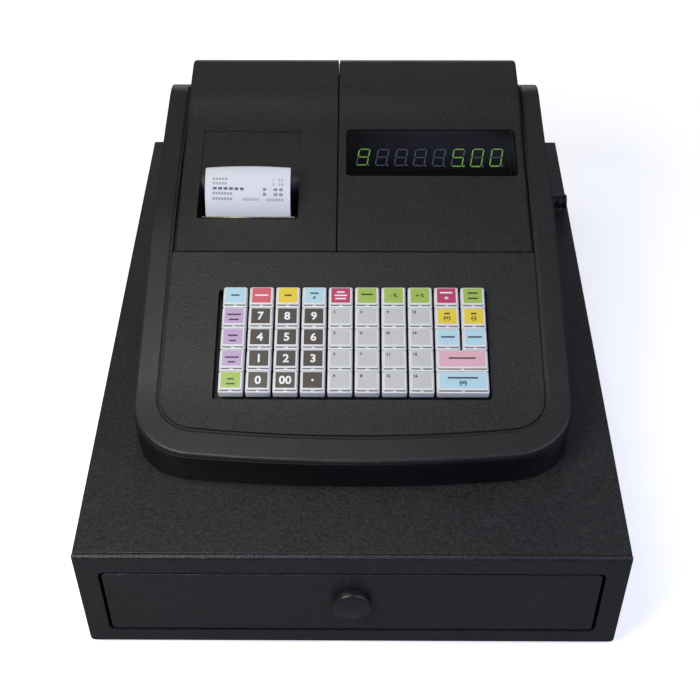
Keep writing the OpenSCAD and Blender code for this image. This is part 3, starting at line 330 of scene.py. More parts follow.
# %% Plastics, paint, rubber and steel
FINISH = {
    "case_plastic": grained("case_plastic", (0.0175, 0.0175, 0.0162), 0.46, 620, 0.0003, 0.6),
    "case_rim": grained("case_rim", (0.018, 0.018, 0.0168), 0.40, 700, 0.0001, 0.4),
    "cabinet_steel": grained("cabinet_steel", (0.019, 0.019, 0.0185), 0.40, 560, 0.0003, 0.6),
    "skirt_plastic": grained("skirt_plastic", (0.003, 0.003, 0.0035), 0.33, 2200, 0.00004, 0.2),
    "frame_plastic": grained("frame_plastic", (0.0145, 0.014, 0.017), 0.40, 480, 0.0004, 0.5),
    "base_steel": grained("base_steel", (0.01, 0.01, 0.0105), 0.45, 1500, 0.00005),
    "feet_rubber": grained("feet_rubber", (0.008, 0.008, 0.008), 0.75, 900, 0.0001),
    "gland_rubber": grained("gland_rubber", (0.007, 0.007, 0.007), 0.6, 1200, 0.00006),
    "platen_rubber": grained("platen_rubber", (0.012, 0.012, 0.012), 0.65, 1500, 0.00005),
    "tray_plastic": grained("tray_plastic", (0.012, 0.012, 0.0125), 0.42, 1500, 0.00008),
    "lock_plastic": grained("lock_plastic", (0.013, 0.013, 0.015), 0.3, 2400, 0.00001),
    "drawer_steel": grained("drawer_steel", (0.45, 0.45, 0.44), 0.38, 240, 0.00002, 0.2, 1.0, 30),
    "printer_steel": grained("printer_steel", (0.4, 0.4, 0.4), 0.34, 300, 0.00002, 0.15, 1.0, 30),
    "clip_steel": grained("clip_steel", (0.6, 0.6, 0.6), 0.22, 500, 0.00001, 0.1, 1.0, 30),
    "release_steel": grained("release_steel", (0.4, 0.33, 0.14), 0.36, 300, 0.00002, 0.15, 1.0, 30),
    "plate_steel": grained("plate_steel", (0.03, 0.03, 0.032), 0.5, 1500, 0.00004),
    "board_laminate": grained("board_laminate", (0.006, 0.007, 0.01), 0.3, 900, 0.00002),
    "paper": grained("paper", (0.68, 0.70, 0.76), 0.7, 900, 0.00002, 0.03),
    "edge_steel": grained("edge_steel", (0.26, 0.23, 0.16), 0.4, 300, 0.00002, 0.15, 1.0, 30),
    "window_smoked": smoked("window_smoked", (0.25, 0.25, 0.26)),
}
print("finishes:", len(FINISH))

# %% [markdown]
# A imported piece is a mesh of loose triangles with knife-sharp edges, and no moulded or folded
# part has those. A softened copy merges the points, removes the cuts across flat faces and gives
# every real edge a small rounding, so that it catches a thin line of light. Normals weighted by
# face area keep the large faces flat in the shading. The thin rim of an open-topped piece is one
# ring-shaped face, which the rounding would close like a lid, so there it is cut up again.

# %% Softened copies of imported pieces
FLAT_ENOUGH = math.radians(0.4)
REAL_EDGE = math.radians(28)
SAME_POINT = 2e-6
OPEN_TOPPED = ("drawer_box", "cash_tray")
FLAT_SHADED = ("upper_case", "display_cover", "printer_cover", "cabinet_cover", "front_frame",
               "drawer_front")


def mark_rim(work):
    """Gives the faces of the rim, from the groove outward, the second material."""
    upward = [f for f in work.faces if f.normal.z > 0.8]
    waiting = [min(upward, key=lambda f: min(v.co.y for v in f.verts))]
    while waiting:
        face = waiting.pop()
        face.material_index = 1
        for edge in face.edges:
            if edge.calc_face_angle(0) < REAL_EDGE:
                waiting += [f for f in edge.link_faces if f.material_index == 0]


def softened(node, radius, segments=2, edge_angle=REAL_EDGE):
    mesh = nodes[node].data.copy()
    mesh.name = node + "_soft"
    mesh.materials.clear()
    mesh.materials.append(FINISH[SLOT_OF[node]])
    work = bmesh.new()
    work.from_mesh(mesh)
    bmesh.ops.remove_doubles(work, verts=work.verts, dist=SAME_POINT)
    bmesh.ops.dissolve_limit(work, angle_limit=FLAT_ENOUGH, verts=work.verts, edges=work.edges)
    if node in OPEN_TOPPED:
        bmesh.ops.connect_verts_concave(work, faces=work.faces)
    for face in work.faces:
        face.smooth = True
        face.material_index = 0
    if node == "upper_case":
        mesh.materials.append(FINISH["case_rim"])
        mark_rim(work)
        print("faces of the rim:", sum(f.material_index for f in work.faces), "of", len(work.faces))
    work.to_mesh(mesh)
    work.free()
    obj = bpy.data.objects.new(node + "_soft", mesh)
    bpy.context.scene.collection.objects.link(obj)
    if radius > 0:
        rounding = obj.modifiers.new("rounding", "BEVEL")
        rounding.width = radius
        rounding.segments = segments
        rounding.limit_method = "ANGLE"
        rounding.angle_limit = edge_angle
        rounding.use_clamp_overlap = True
        rounding.harden_normals = False
        rounding.miter_outer = "MITER_ARC"
        settle(obj)
    crease(obj.data, REAL_EDGE)
    if node in FLAT_SHADED:
        flat = obj.modifiers.new("flat", "WEIGHTED_NORMAL")
        flat.keep_sharp = True
        settle(obj)
    return hand_over(obj, BODY_OF[node], SLOT_OF[node], node)


def settle(obj):
    """Turns an object's live modifiers into its mesh."""
    graph = bpy.context.evaluated_depsgraph_get()
    result = bpy.data.meshes.new_from_object(obj.evaluated_get(graph), depsgraph=graph)
    obj.modifiers.clear()
    obj.data = result


def crease(mesh, angle):
    """Keeps shading smooth over gentle turns and sharp over the rest."""
    work = bmesh.new()
    work.from_mesh(mesh)
    for edge in work.edges:
        edge.smooth = len(edge.link_faces) == 2 and edge.calc_face_angle(0) < angle
    for face in work.faces:
        face.smooth = True
    work.to_mesh(mesh)
    work.free()


ROUNDING = {
    "cabinet_cover": 1.1, "cabinet_base": 0.3, "front_frame": 0.0, "cabinet_feet": 0.6,
    "drawer_box": 0.25, "drawer_front": 0.0, "cash_tray": 0.5, "lock_cap": 0.25,
    "drawer_release": 0.2, "lower_case": 0.4, "upper_case": 0.25, "display_cover": 0.35,
    "printer_cover": 0.45, "display_window": 0.3, "display_board": 0.0, "key_plate": 0.0,
    "printer_frame": 0.25, "platen_roller": 0.15, "paper_roll": 0.1, "cord_gland": 0.3,
    "note_clip_1": 0.3, "note_clip_2": 0.3, "note_clip_3": 0.3,
}

# %% [markdown]
# The keys are the brightest part of the object. Each is a white moulded body with a clear cap on
# top, and a coloured label lies under the cap. The body is a stack of rounded rectangles, joined
# ring to ring: straight skirt, small ledge in front, then the cap with its soft upper edge. A
# stack of rings keeps every corner round at a low face count, which matters for 48 keys.

# %% Rings, stacks and thin plates
def rounded_ring(x0, x1, s0, s1, radius, steps=4):
    corners = ((x1, s1, 0), (x0, s1, 90), (x0, s0, 180), (x1, s0, 270))
    ring = []
    for x, s, start in corners:
        centre_x = x - radius if x == x1 else x + radius
        centre_s = s - radius if s == s1 else s + radius
        for i in range(steps + 1):
            turn = math.radians(start + 90 * i / steps)
            ring.append((centre_x + radius * math.cos(turn), centre_s + radius * math.sin(turn)))
    return ring


class Moulding:
    """Collects points and faces of one piece, each face with its material."""

    def __init__(self):
        self.verts, self.faces, self.finish, self.materials = [], [], [], []

    def slot(self, material):
        if material not in self.materials:
            self.materials.append(material)
        return self.materials.index(material)

    def add(self, verts, faces, material):
        start, index = len(self.verts), self.slot(material)
        self.verts.extend(verts)
        self.faces.extend([tuple(start + i for i in face) for face in faces])
        self.finish.extend([index] * len(faces))

    def stack(self, rings, material, to_space, lid=True, bottom=True):
        """Joins rings of (points, height) from the lowest to the highest."""
        n = len(rings[0][0])
        verts = [to_space(x, s, height) for ring, height in rings for x, s in ring]
        faces = [(k * n + j, k * n + (j + 1) % n, (k + 1) * n + (j + 1) % n, (k + 1) * n + j)
                 for k in range(len(rings) - 1) for j in range(n)]
        if lid:
            faces.append(tuple((len(rings) - 1) * n + j for j in range(n)))
        if bottom:
            faces.append(tuple(reversed(range(n))))
        self.add(verts, faces, material)

    def piece(self, name):
        return mesh_object(name, self.verts, self.faces, self.materials, self.finish)


# %% [markdown]
# The deck slopes, so a key is drawn flat, in x across, s up the slope and h out of the deck, and
# one function turns such a place into the object's own space. The slope's size is the packed
# model's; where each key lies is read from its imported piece.

# %% From the deck to space, and where a packed key lies
DECK_SLOPE = math.radians(17.0)
PANEL_SLOPE = math.radians(12.1)


def slope_axes(slope):
    return Vector((0, math.cos(slope), math.sin(slope))), Vector((0, -math.sin(slope), math.cos(slope)))


ALONG, OUT = slope_axes(DECK_SLOPE)


def on_deck(x, s, h):
    return Vector((x, 0, 0)) + ALONG * s + OUT * h


def deck_extent(node):
    places = [v.co for v in nodes[node].data.vertices]
    along = [p.dot(ALONG) for p in places]
    across = [p.x for p in places]
    return min(across), max(across), min(along), max(along), max(p.dot(OUT) for p in places)


key_x0, key_x1, key_s0, key_s1 = deck_extent("key_7")[:4]
KEY_LENGTH = key_s1 - key_s0
KEY_WIDTH = key_x1 - key_x0
print(f"a key is {KEY_WIDTH / MM:.1f} mm wide and {KEY_LENGTH / MM:.1f} mm long")

# %% [markdown]
# Signs on the keys and the paper are plain digits and arithmetic signs. Blender's text tool draws
# them; the text is turned into a mesh at once and scaled by its measured height, so that the size
# is that of the printed sign and not of the font's em square.

# %% Printed signs as flat meshes
def sign_mesh(text, height, weight=0.03, spacing=1.0):
    curve = bpy.data.curves.new("sign", "FONT")
    curve.body = text
    curve.offset = weight
    curve.space_character = spacing
    curve.resolution_u = 3
    obj = bpy.data.objects.new("sign", curve)
    bpy.context.scene.collection.objects.link(obj)
    graph = bpy.context.evaluated_depsgraph_get()
    mesh = bpy.data.meshes.new_from_object(obj.evaluated_get(graph), depsgraph=graph)
    points = [v.co.copy() for v in mesh.vertices]
    faces = [tuple(p.vertices) for p in mesh.polygons]
    bpy.data.objects.remove(obj)
    bpy.data.meshes.remove(mesh)
    low = min(p.y for p in points)
    high = max(p.y for p in points)
    middle = (min(p.x for p in points) + max(p.x for p in points)) / 2
    scale = height / (high - low) if text not in SMALL_SIGNS else height / FONT_DIGIT
    shift = (low + high) / 2
    return [((p.x - middle) * scale, (p.y - shift) * scale) for p in points], faces


SMALL_SIGNS = ("-", "+", ".", "=", "÷", "×", "- %", "+ %", "(+)", "(-)", "(=)")
FONT_DIGIT = 0.73

# %% [markdown]
# The label colours are printed card under clear plastic, so their finish is a dull print with a
# glossy coat over it, and the coat stands for the clear plastic. The white body has the same coat.

# %% Colours of the labels and of the ink
def printed(name, colour, fleck=0.05):
    material, tree, shader, place = new_material(name)
    dots = noise(tree, place, 2600, 1.0)
    dark = [c * (1 - fleck) for c in colour]
    light = [min(1, c * (1 + fleck)) for c in colour]
    tree.links.new(tone(tree, spread(tree, dots, 0, 1), dark, light), shader.inputs["Base Color"])
    tree.links.new(spread(tree, noise(tree, place, 60), 0.42, 0.55), shader.inputs["Roughness"])
    tree.links.new(bump(tree, noise(tree, place, 400), 0.00001), shader.inputs["Normal"])
    shader.inputs["Coat Weight"].default_value = 0.35
    shader.inputs["Coat Roughness"].default_value = 0.12
    return material


LABEL = {
    "key_blue": printed("label_blue", (0.45, 0.68, 0.76)),
    "key_red": printed("label_red", (0.62, 0.12, 0.15)),
    "key_yellow": printed("label_yellow", (0.80, 0.60, 0.05)),
    "key_crimson": printed("label_crimson", (0.50, 0.05, 0.13)),
    "key_green": printed("label_green", (0.36, 0.50, 0.09)),
    "key_violet": printed("label_violet", (0.53, 0.37, 0.58)),
    "key_number": printed("label_number", (0.075, 0.064, 0.052)),
    "key_pink": printed("label_pink", (0.74, 0.43, 0.49)),
    "key_grey": printed("label_grey", (0.56, 0.56, 0.545)),
}
INK_BLACK = printed("ink_black", (0.03, 0.03, 0.035))
INK_WHITE = printed("ink_white", (0.85, 0.85, 0.85))
KEY_BODY = printed("key_body", (0.72, 0.73, 0.73), 0.02)
# The slit's grey colour is painted shade of the ledge in front of the cap.
KEY_SLIT_SHADE = printed("key_slit", (0.16, 0.16, 0.15))
# The stem's near-black colour is painted shade of the gap below the deck.
KEY_SHADE_STEM = printed("key_stem", (0.008, 0.008, 0.009))

# %% [markdown]
# What stands on each label. Words are left off: a word's place holds one or two plain bars of
# about its length.

# %% Signs of the keys
BAR = "bar"
KEY_SIGNS = {
    "key_feed": [(BAR, 5.6, 0)], "key_clear": [(BAR, 8.6, 0)], "key_lookup": [(BAR, 4.6, 0)],
    "key_multiply": [(BAR, 5.6, 1.6), ("×", 2.6, -1.7)],
    "key_receipt": [(BAR, 5.2, 2.5), (BAR, 8.2, 0), (BAR, 7.0, -2.5)],
    "key_clerk": [(BAR, 7.4, 0.8)], "key_minus_percent": [("- %", 2.4, 0)],
    "key_plus_percent": [("+ %", 2.4, 0)], "key_no_sale": [(BAR, 8.2, 2.2), ("÷", 3.4, -1.8)],
    "key_mode": [(BAR, 6.8, 2.0), (BAR, 6.4, -2.0)],
    "key_return": [(BAR, 8.8, 1.0), (BAR, 6.4, -2.8)],
    "key_void": [(BAR, 6.2, 1.0), (BAR, 4.4, -2.8)],
    "key_cancel": [(BAR, 8.8, 0.6), (BAR, 4.6, -2.8)],
    "key_tax": [(BAR, 4.4, 0.6), (BAR, 5.4, -2.8)],
    "key_received": [(BAR, 3.6, 2.0), ("(+)", 2.6, -1.6)],
    "key_paid_out": [(BAR, 3.6, 2.0), ("(-)", 2.6, -1.6)],
    "key_check": [(BAR, 8.8, 0.2)], "key_charge": [(BAR, 9.0, 0.2)],
    "key_subtotal": [(BAR, 17.0, 0.4)], "key_total": [(BAR, 19.0, 1.8), ("(=)", 2.8, -2.0)],
}
WHITE_SIGNS = ("key_clear", "key_receipt", "key_no_sale")

# %% [markdown]
# One function makes a key, whatever its width, so all forty-eight agree. The white body ends just
# below the deck, and a near-black stem goes on down: painted shade, so a dark line shows in front
# of each row. The ledge in front of the cap shows as a thin grey slit, painted shade of the ledge,
# broken in the middle by the cap's catch.
# The two tables hold, in millimetres, each ring's inset, corner radius and depth below the top; a
# ring of the cap also says how far it lies behind the ledge.

# %% One key
BODY_DEPTH = 6.9 * MM
STEM_DEPTH = 10.4 * MM
STEM_INSET = 0.9 * MM
CAP_HEIGHT = 1.2 * MM
LEDGE = 1.45 * MM
LABEL_SIDE = 1.75 * MM
LABEL_FRONT = 1.0 * MM
LABEL_BACK = 0.8 * MM
PRINT_LIFT = 0.03 * MM
CARD_EDGE = 0.4 * MM
CATCH_HALF = 1.1 * MM
SLIT_INSET = 1.3 * MM
BODY_RINGS = ((0, 1.1, 6.9), (0, 1.1, 1.65), (0.15, 1.05, 1.32), (0.4, 0.9, 1.2))
CAP_RINGS = ((0.45, 0.9, 1.3, 0), (0.5, 0.9, 0.4, 0.05), (0.6, 0.85, 0.14, 0.15),
             (0.85, 0.7, 0.02, 0.4), (1.1, 0.5, 0, 0.65), (1.3, 0.5, 0, 0.85))


def add_key(key, x0, x1, s0, s1, top, label):
    step = top - CAP_HEIGHT

    def ring(inset, radius, front=0.0):
        return rounded_ring(x0 + inset, x1 - inset, s0 + max(inset, front), s1 - inset, radius)

    body = [(ring(inset * MM, radius * MM), top - depth * MM) for inset, radius, depth in BODY_RINGS]
    key.stack(body, KEY_BODY, on_deck)
    # The near-black stem below the white body is painted shade in the gap in front of the key.
    stem = ring(STEM_INSET, 0.8 * MM)
    key.stack([(stem, top - STEM_DEPTH), (stem, top - BODY_DEPTH + 0.1 * MM)], KEY_SHADE_STEM, on_deck)
    cap = [(ring(inset * MM, radius * MM, LEDGE + behind * MM), top - depth * MM)
           for inset, radius, depth, behind in CAP_RINGS]
    key.stack(cap, KEY_BODY, on_deck)
    middle = (x0 + x1) / 2
    # Two thin grey strips at the ledge: painted shade of the ledge, broken in the middle by the catch.
    for a, b in ((x0 + SLIT_INSET, middle - CATCH_HALF), (middle + CATCH_HALF, x1 - SLIT_INSET)):
        slit = rounded_ring(a, b, s0 + LEDGE - 0.35 * MM, s0 + LEDGE + 0.2 * MM, 0.08 * MM, 2)
        key.stack([(slit, step - 0.1 * MM), (slit, step + 0.75 * MM)], KEY_SLIT_SHADE, on_deck)
    card = rounded_ring(x0 + LABEL_SIDE, x1 - LABEL_SIDE, s0 + LEDGE + LABEL_FRONT + CARD_EDGE,
                        s1 - LABEL_BACK - 0.3 * MM, 0.35 * MM, 3)
    key.stack([(card, top - 0.1 * MM), (card, top + PRINT_LIFT)], label, on_deck)


def add_sign(key, text, size, x, s, top, ink):
    if text == BAR:
        half = size * MM / 2
        bar = rounded_ring(x - half, x + half, s - 0.55 * MM, s + 0.55 * MM, 0.3 * MM, 3)
        key.stack([(bar, top + PRINT_LIFT), (bar, top + 2 * PRINT_LIFT)], ink, on_deck)
        return
    flat, faces = sign_mesh(text, size * MM, 0.05 if size < DIGIT_HEIGHT else 0.03)
    key.add([on_deck(x + a, s + b, top + 2 * PRINT_LIFT) for a, b in flat], faces, ink)


# %% [markdown]
# The printed signs sit on the label's middle. The number keys carry one large white digit; the
# department keys carry their number, small, in the upper left corner.

# %% All the keys
DIGIT_HEIGHT = 6.0
POINT_SIZE = 7.0
SMALL_DIGIT = 2.1


def label_middle(s0, s1):
    front = s0 + LEDGE + LABEL_FRONT + CARD_EDGE
    back = s1 - LABEL_BACK - 0.3 * MM
    return (front + back) / 2


def make_key(node):
    x0, x1, s0, s1, top = deck_extent(node)
    key = Moulding()
    slot = SLOT_OF[node]
    add_key(key, x0, x1, s0, s1, top, LABEL[slot])
    middle = label_middle(s0, s1)
    name = node.replace("key_", "")
    if slot == "key_number":
        text = "." if name == "point" else name
        size = POINT_SIZE if name == "point" else DIGIT_HEIGHT
        add_sign(key, text, size, (x0 + x1) / 2, middle, top, INK_WHITE)
    for text, size, rise in KEY_SIGNS.get(node, ()):
        ink = INK_WHITE if node in WHITE_SIGNS else INK_BLACK
        add_sign(key, text, size, (x0 + x1) / 2, middle + rise * MM, top, ink)
    cap = key.piece(node + "_cap")
    crease(cap.data, REAL_EDGE)
    return hand_over(cap, BODY_OF[node], slot, node)


def make_department(node, first_number):
    x0, x1, s0, s1, top = deck_extent(node)
    pitch = (s1 - s0 - KEY_LENGTH) / 3
    column = Moulding()
    for i in range(4):
        front = s0 + (3 - i) * pitch
        back = front + KEY_LENGTH
        add_key(column, x0, x1, front, back, top, LABEL["key_grey"])
        add_sign(column, str(first_number + i), SMALL_DIGIT, x0 + 4.0 * MM, back - 3.6 * MM, top,
                 INK_BLACK)
    caps = column.piece(node + "_caps")
    crease(caps.data, REAL_EDGE)
    return hand_over(caps, BODY_OF[node], "key_grey", node)


single_keys = [n for n in nodes if n.startswith("key_") and n != "key_plate"]
for node in single_keys:
    make_key(node)
for column in range(4):
    make_department(f"department_keys_{column + 1}", 4 * column + 1)
print("keys:", len(single_keys), "single or double and 4 columns of four")

# %% [markdown]
# Several small things come in rows: the digits of the display, the blocks of print on the receipt
# and the teeth of the cutting edge. One node tree lays any shape out in a row: it draws a line of
# points, puts the shape on each, may turn each one by a random angle, and gives the row its finish.

# %% A row of equal pieces by Geometry Nodes
def row_tree():
    tree = bpy.data.node_groups.new("row_of_pieces", "GeometryNodeTree")
    face = tree.interface
    wanted = {"Shape": "NodeSocketObject", "Count": "NodeSocketInt", "Start": "NodeSocketVector",
              "Step": "NodeSocketVector", "Turn": "NodeSocketFloat", "Seed": "NodeSocketInt",
              "Finish": "NodeSocketMaterial"}
    face.new_socket("Geometry", in_out="OUTPUT", socket_type="NodeSocketGeometry")
    names = {n: face.new_socket(n, in_out="INPUT", socket_type=t).identifier for n, t in wanted.items()}
    given = tree.nodes.new("NodeGroupInput").outputs
    line = tree.nodes.new("GeometryNodeMeshLine")
    tree.links.new(given["Count"], line.inputs["Count"])
    tree.links.new(given["Start"], line.inputs["Start Location"])
    tree.links.new(given["Step"], line.inputs["Offset"])
    shape = tree.nodes.new("GeometryNodeObjectInfo")
    tree.links.new(given["Shape"], shape.inputs["Object"])
    turn = tree.nodes.new("FunctionNodeRandomValue")
    tree.links.new(given["Turn"], turn.inputs["Max"])
    tree.links.new(given["Seed"], turn.inputs["Seed"])
    turned = tree.nodes.new("ShaderNodeCombineXYZ")
    tree.links.new(turn.outputs["Value"], turned.inputs["Z"])
    place = tree.nodes.new("GeometryNodeInstanceOnPoints")
    tree.links.new(line.outputs["Mesh"], place.inputs["Points"])
    tree.links.new(shape.outputs["Geometry"], place.inputs["Instance"])
    tree.links.new(turned.outputs["Vector"], place.inputs["Rotation"])
    real = tree.nodes.new("GeometryNodeRealizeInstances")
    tree.links.new(place.outputs["Instances"], real.inputs["Geometry"])
    finish = tree.nodes.new("GeometryNodeSetMaterial")
    tree.links.new(real.outputs["Geometry"], finish.inputs["Geometry"])
    tree.links.new(given["Finish"], finish.inputs["Material"])
    tree.links.new(finish.outputs["Geometry"], tree.nodes.new("NodeGroupOutput").inputs["Geometry"])
    return tree, names


ROW_TREE, ROW_INPUT = row_tree()


def row_of(name, shape, count, start, step, finish, turn=0.0):
    """The points and faces of a row of copies of a shape, which is removed afterwards."""
    holder = mesh_object(name + "_row", [], [], [])
    row = holder.modifiers.new("row", "NODES")
    row.node_group = ROW_TREE
    values = {"Shape": shape, "Count": count, "Start": start, "Step": step, "Turn": turn, "Seed": 4,
              "Finish": finish}
    for key, value in values.items():
        row[ROW_INPUT[key]] = value
    settle(holder)
    points = [v.co.copy() for v in holder.data.vertices]
    faces = [tuple(p.vertices) for p in holder.data.polygons]
    bpy.data.objects.remove(holder)
    bpy.data.objects.remove(shape)
    return points, faces


# %% [markdown]
# The display has eight slanted digits of seven bars and a dot, a few millimetres under the pane.
# Bars that are off show as pale grey outlines of their cells, with a faint painted glow, though an
# off bar gives no light. The lit ones give off light of their own: a plain number at the left end
# and a sum with two decimals at the right end.

# %% From the covers' panel to space, and the digits' cells
PANEL_ALONG, PANEL_OUT = slope_axes(PANEL_SLOPE)
PANEL_FROM = Vector((0, 83.1, 172.116)) * MM
DIGIT_START, DIGIT_STEP, DIGIT_COUNT = 7.7, 13.26, 8
DIGIT_HALF, DIGIT_MIDDLE, CELL_HALF = 6.9, 0.4, 3.7
BAR_HALF, SLANT = 0.42, math.tan(math.radians(9))


def on_panel(x, s, h):
    return PANEL_FROM + Vector((x, 0, 0)) + PANEL_ALONG * s + PANEL_OUT * h


def bar_outline(part):
    """A bar of the cell with pointed ends, in millimetres from the cell's middle."""
    w, h, t = CELL_HALF, DIGIT_HALF, BAR_HALF
    gap = 0.35
    level = {"top": h, "middle": 0, "bottom": -h}
    if part in level:
        y = level[part]
        a, b = -w + t + gap - 0.4, w - t - gap + 0.4
        return [(a, y), (a + t, y - t), (b - t, y - t), (b, y), (b - t, y + t), (a + t, y + t)]
    if part == "dot":
        return [(w + 1.2 + 0.75 * math.cos(i * math.pi / 4), -h + 0.75 * math.sin(i * math.pi / 4))
                for i in range(8)]
    x = -w if "left" in part else w
    low, high = (gap, h - gap) if "upper" in part else (-h + gap, -gap)
    return [(x, low), (x + t, low + t), (x + t, high - t), (x, high), (x - t, high - t),
            (x - t, low + t)]


ALL_BARS = ("top", "middle", "bottom", "upper left", "upper right", "lower left", "lower right",
            "dot")
BARS_OF = {
    "9": ("top", "middle", "bottom", "upper left", "upper right", "lower right"),
    "5": ("top", "middle", "bottom", "upper left", "lower right"),
    "0": ("top", "bottom", "upper left", "upper right", "lower left", "lower right"),
}


def cell_faces(parts):
    verts, faces = [], []
    for part in parts:
        outline = bar_outline(part)
        faces.append(tuple(len(verts) + i for i in range(len(outline))))
        verts += [(x + y * SLANT, y, 0) for x, y in outline]
    return verts, faces


def glowing(name, colour, strength, base):
    material, tree, shader, place = new_material(name)
    fleck = noise(tree, place, 500)
    tree.links.new(tone(tree, spread(tree, fleck, 0, 1), [c * 0.85 for c in base], base),
                   shader.inputs["Base Color"])
    tree.links.new(tone(tree, spread(tree, fleck, 0, 1), [c * 0.9 for c in colour], colour),
                   shader.inputs["Emission Color"])
    tree.links.new(spread(tree, fleck, 0.3, 0.4), shader.inputs["Roughness"])
    tree.links.new(bump(tree, fleck, 0.000002), shader.inputs["Normal"])
    shader.inputs["Emission Strength"].default_value = strength
    return material


# Off bars: their faint emission is a painted glow; only the lit bars really give light.
BAR_OFF_PAINTED_GLOW = glowing("bar_off", (0.48, 0.6, 1.0), 0.45, (0.03, 0.035, 0.05))
BAR_LIT = glowing("bar_lit", (0.45, 1.0, 0.14), 1.45, (0.05, 0.1, 0.03))

# %% [markdown]
# The cells are one row of equal shapes. A lit bar is a second bar just above the one that is off.

# %% Digits of the display
LIT_SIGNS = ((0, "9", False), (5, "5", True), (6, "0", False), (7, "0", False))
OFF_LIFT, LIT_LIFT = 0.03 * MM, 0.08 * MM
board_top = max((v.co - PANEL_FROM).dot(PANEL_OUT) for v in nodes["display_board"].data.vertices)
cell = mesh_object("cell", *cell_faces(ALL_BARS), [])
points, faces = row_of("digits", cell, DIGIT_COUNT, (DIGIT_START, DIGIT_MIDDLE, 0),
                       (DIGIT_STEP, 0, 0), BAR_OFF_PAINTED_GLOW)
digits = Moulding()
digits.add([on_panel(p.x * MM, p.y * MM, board_top + OFF_LIFT) for p in points], faces, BAR_OFF_PAINTED_GLOW)
for index, sign, dot in LIT_SIGNS:
    verts, faces = cell_faces(BARS_OF[sign] + (("dot",) if dot else ()))
    middle = DIGIT_START + index * DIGIT_STEP
    digits.add([on_panel((x + middle) * MM, (y + DIGIT_MIDDLE) * MM, board_top + LIT_LIFT)
                for x, y, z in verts], faces, BAR_LIT)
hand_over(digits.piece("display_digits"), BODY_OF["display_board"], "board_laminate")
print("digits:", DIGIT_COUNT, "cells of", len(ALL_BARS), "bars")

# %% [markdown]
# The receipt is thermal paper that keeps the curl of its roll. It leaves the throat upright and
# bends backward; its cut end is a little longer in the middle, because the strip was torn
# against the cutting edge, and that edge leaves small teeth in it.

# %% The receipt's shape
PAPER_HALF, PAPER_X = 28.8, -71.5
PAPER_FRONT, PAPER_LOW, PAPER_BEND = 24.4, 148.5, 157.5
CURL, CURL_TURN, PAPER_THICK = 27.0, math.radians(85), 0.3
CUT_BOW, CUT_TOOTH = 1.6, 0.1
PAPER_COLUMNS, PAPER_ROWS = 96, 44


def paper_place(across, along, lift):
    """A place on the strip: across from its middle, along from its low end, lift in front of it."""
    straight = PAPER_BEND - PAPER_LOW
    if along < straight:
        return Vector((PAPER_X + across, PAPER_FRONT - lift, PAPER_LOW + along)) * MM
    turn = (along - straight) / CURL
    reach = CURL + lift
    return Vector((PAPER_X + across, PAPER_FRONT + CURL - reach * math.cos(turn),
                   PAPER_BEND + reach * math.sin(turn))) * MM


def paper_strip(piece):
    whole = PAPER_BEND - PAPER_LOW + CURL * CURL_TURN
    n, m = PAPER_COLUMNS + 1, PAPER_ROWS + 1
    verts = []
    for lift in (0, -PAPER_THICK):
        for j in range(m):
            for i in range(n):
                across = PAPER_HALF * (2 * i / PAPER_COLUMNS - 1)
                length = whole - CUT_BOW * (across / PAPER_HALF) ** 2 + CUT_TOOTH * (i % 2)
                verts.append(paper_place(across, length * j / PAPER_ROWS, lift))
    faces = []
    for j in range(m - 1):
        for i in range(n - 1):
            a = j * n + i
            faces += [(a, a + 1, a + n + 1, a + n),
                      tuple(n * m + k for k in (a, a + n, a + n + 1, a + 1))]
    rim = list(range(n)) + [j * n + n - 1 for j in range(1, m)]
    rim += list(range(n * m - 2, n * m - n - 1, -1)) + [j * n for j in range(m - 2, 0, -1)]
    for a, b in zip(rim, rim[1:] + rim[:1]):
        faces.append((a, n * m + a, n * m + b, b))
    piece.add(verts, faces, FINISH["paper"])


low_z = min(v.co.z for v in nodes["receipt_paper"].data.vertices) / MM
front_y = min(v.co.y for v in nodes["receipt_paper"].data.vertices) / MM
print(f"the packed strip starts at z {low_z:.2f} and stands at y {front_y:.2f}")

# %% [markdown]
# A receipt's lines run from an item at the left to a sum at the right. The items stand here as
# rows of small blocks, one block for each character, and the sums as plain numbers. Two lines are
# bold. The print is a little askew on the strip, as it is on most of them.

# %% Print on the receipt, and the cutting edge in front of it
PRINT_TILT = math.radians(-1.35)
INK_GREY = printed("ink_grey", (0.30, 0.30, 0.36))
INK_BOLD = printed("ink_bold", (0.09, 0.09, 0.12))
RECEIPT_LINES = (
    (37.8, 5, 2.06, INK_GREY, "1.25", 2.0), (34.65, 5, 2.0, INK_GREY, "2.50", 2.0),
    (31.1, 6, 3.65, INK_BOLD, "5.00", 3.7), (27.8, 7, 1.96, INK_GREY, "5.00", 3.7),
    (24.2, 7, 1.96, INK_GREY, "000000", 2.0),
)
LINE_LEFT, LINE_RIGHT, CHARACTER = -24.0, 24.4, 2.0
MIDDLE_NUMBER, MIDDLE_RIGHT = "000001", 8.4


def on_strip(x, y, height, lift=0.03):
    """A place of the print: x across, y above the line at that height of the strip."""
    turned_x = x * math.cos(PRINT_TILT) - y * math.sin(PRINT_TILT)
    return paper_place(turned_x, height + x * math.sin(PRINT_TILT) + y * math.cos(PRINT_TILT), lift)


def print_number(piece, text, pitch, right, height, ink):
    """A number whose digits stand a pitch apart and end at the right."""
    for i, sign in enumerate(reversed(text)):
        flat, faces = sign_mesh(sign, CHARACTER if sign != "." else 0.3 * CHARACTER, 0.05)
        wide = pitch / 1.9
        drop = 0 if sign != "." else -0.35 * CHARACTER
        middle = right - (i + 0.5) * pitch
        piece.add([on_strip(middle + a * wide / MM, b / MM + drop, height) for a, b in
                   [(a * MM, b * MM) for a, b in flat]], faces, ink)


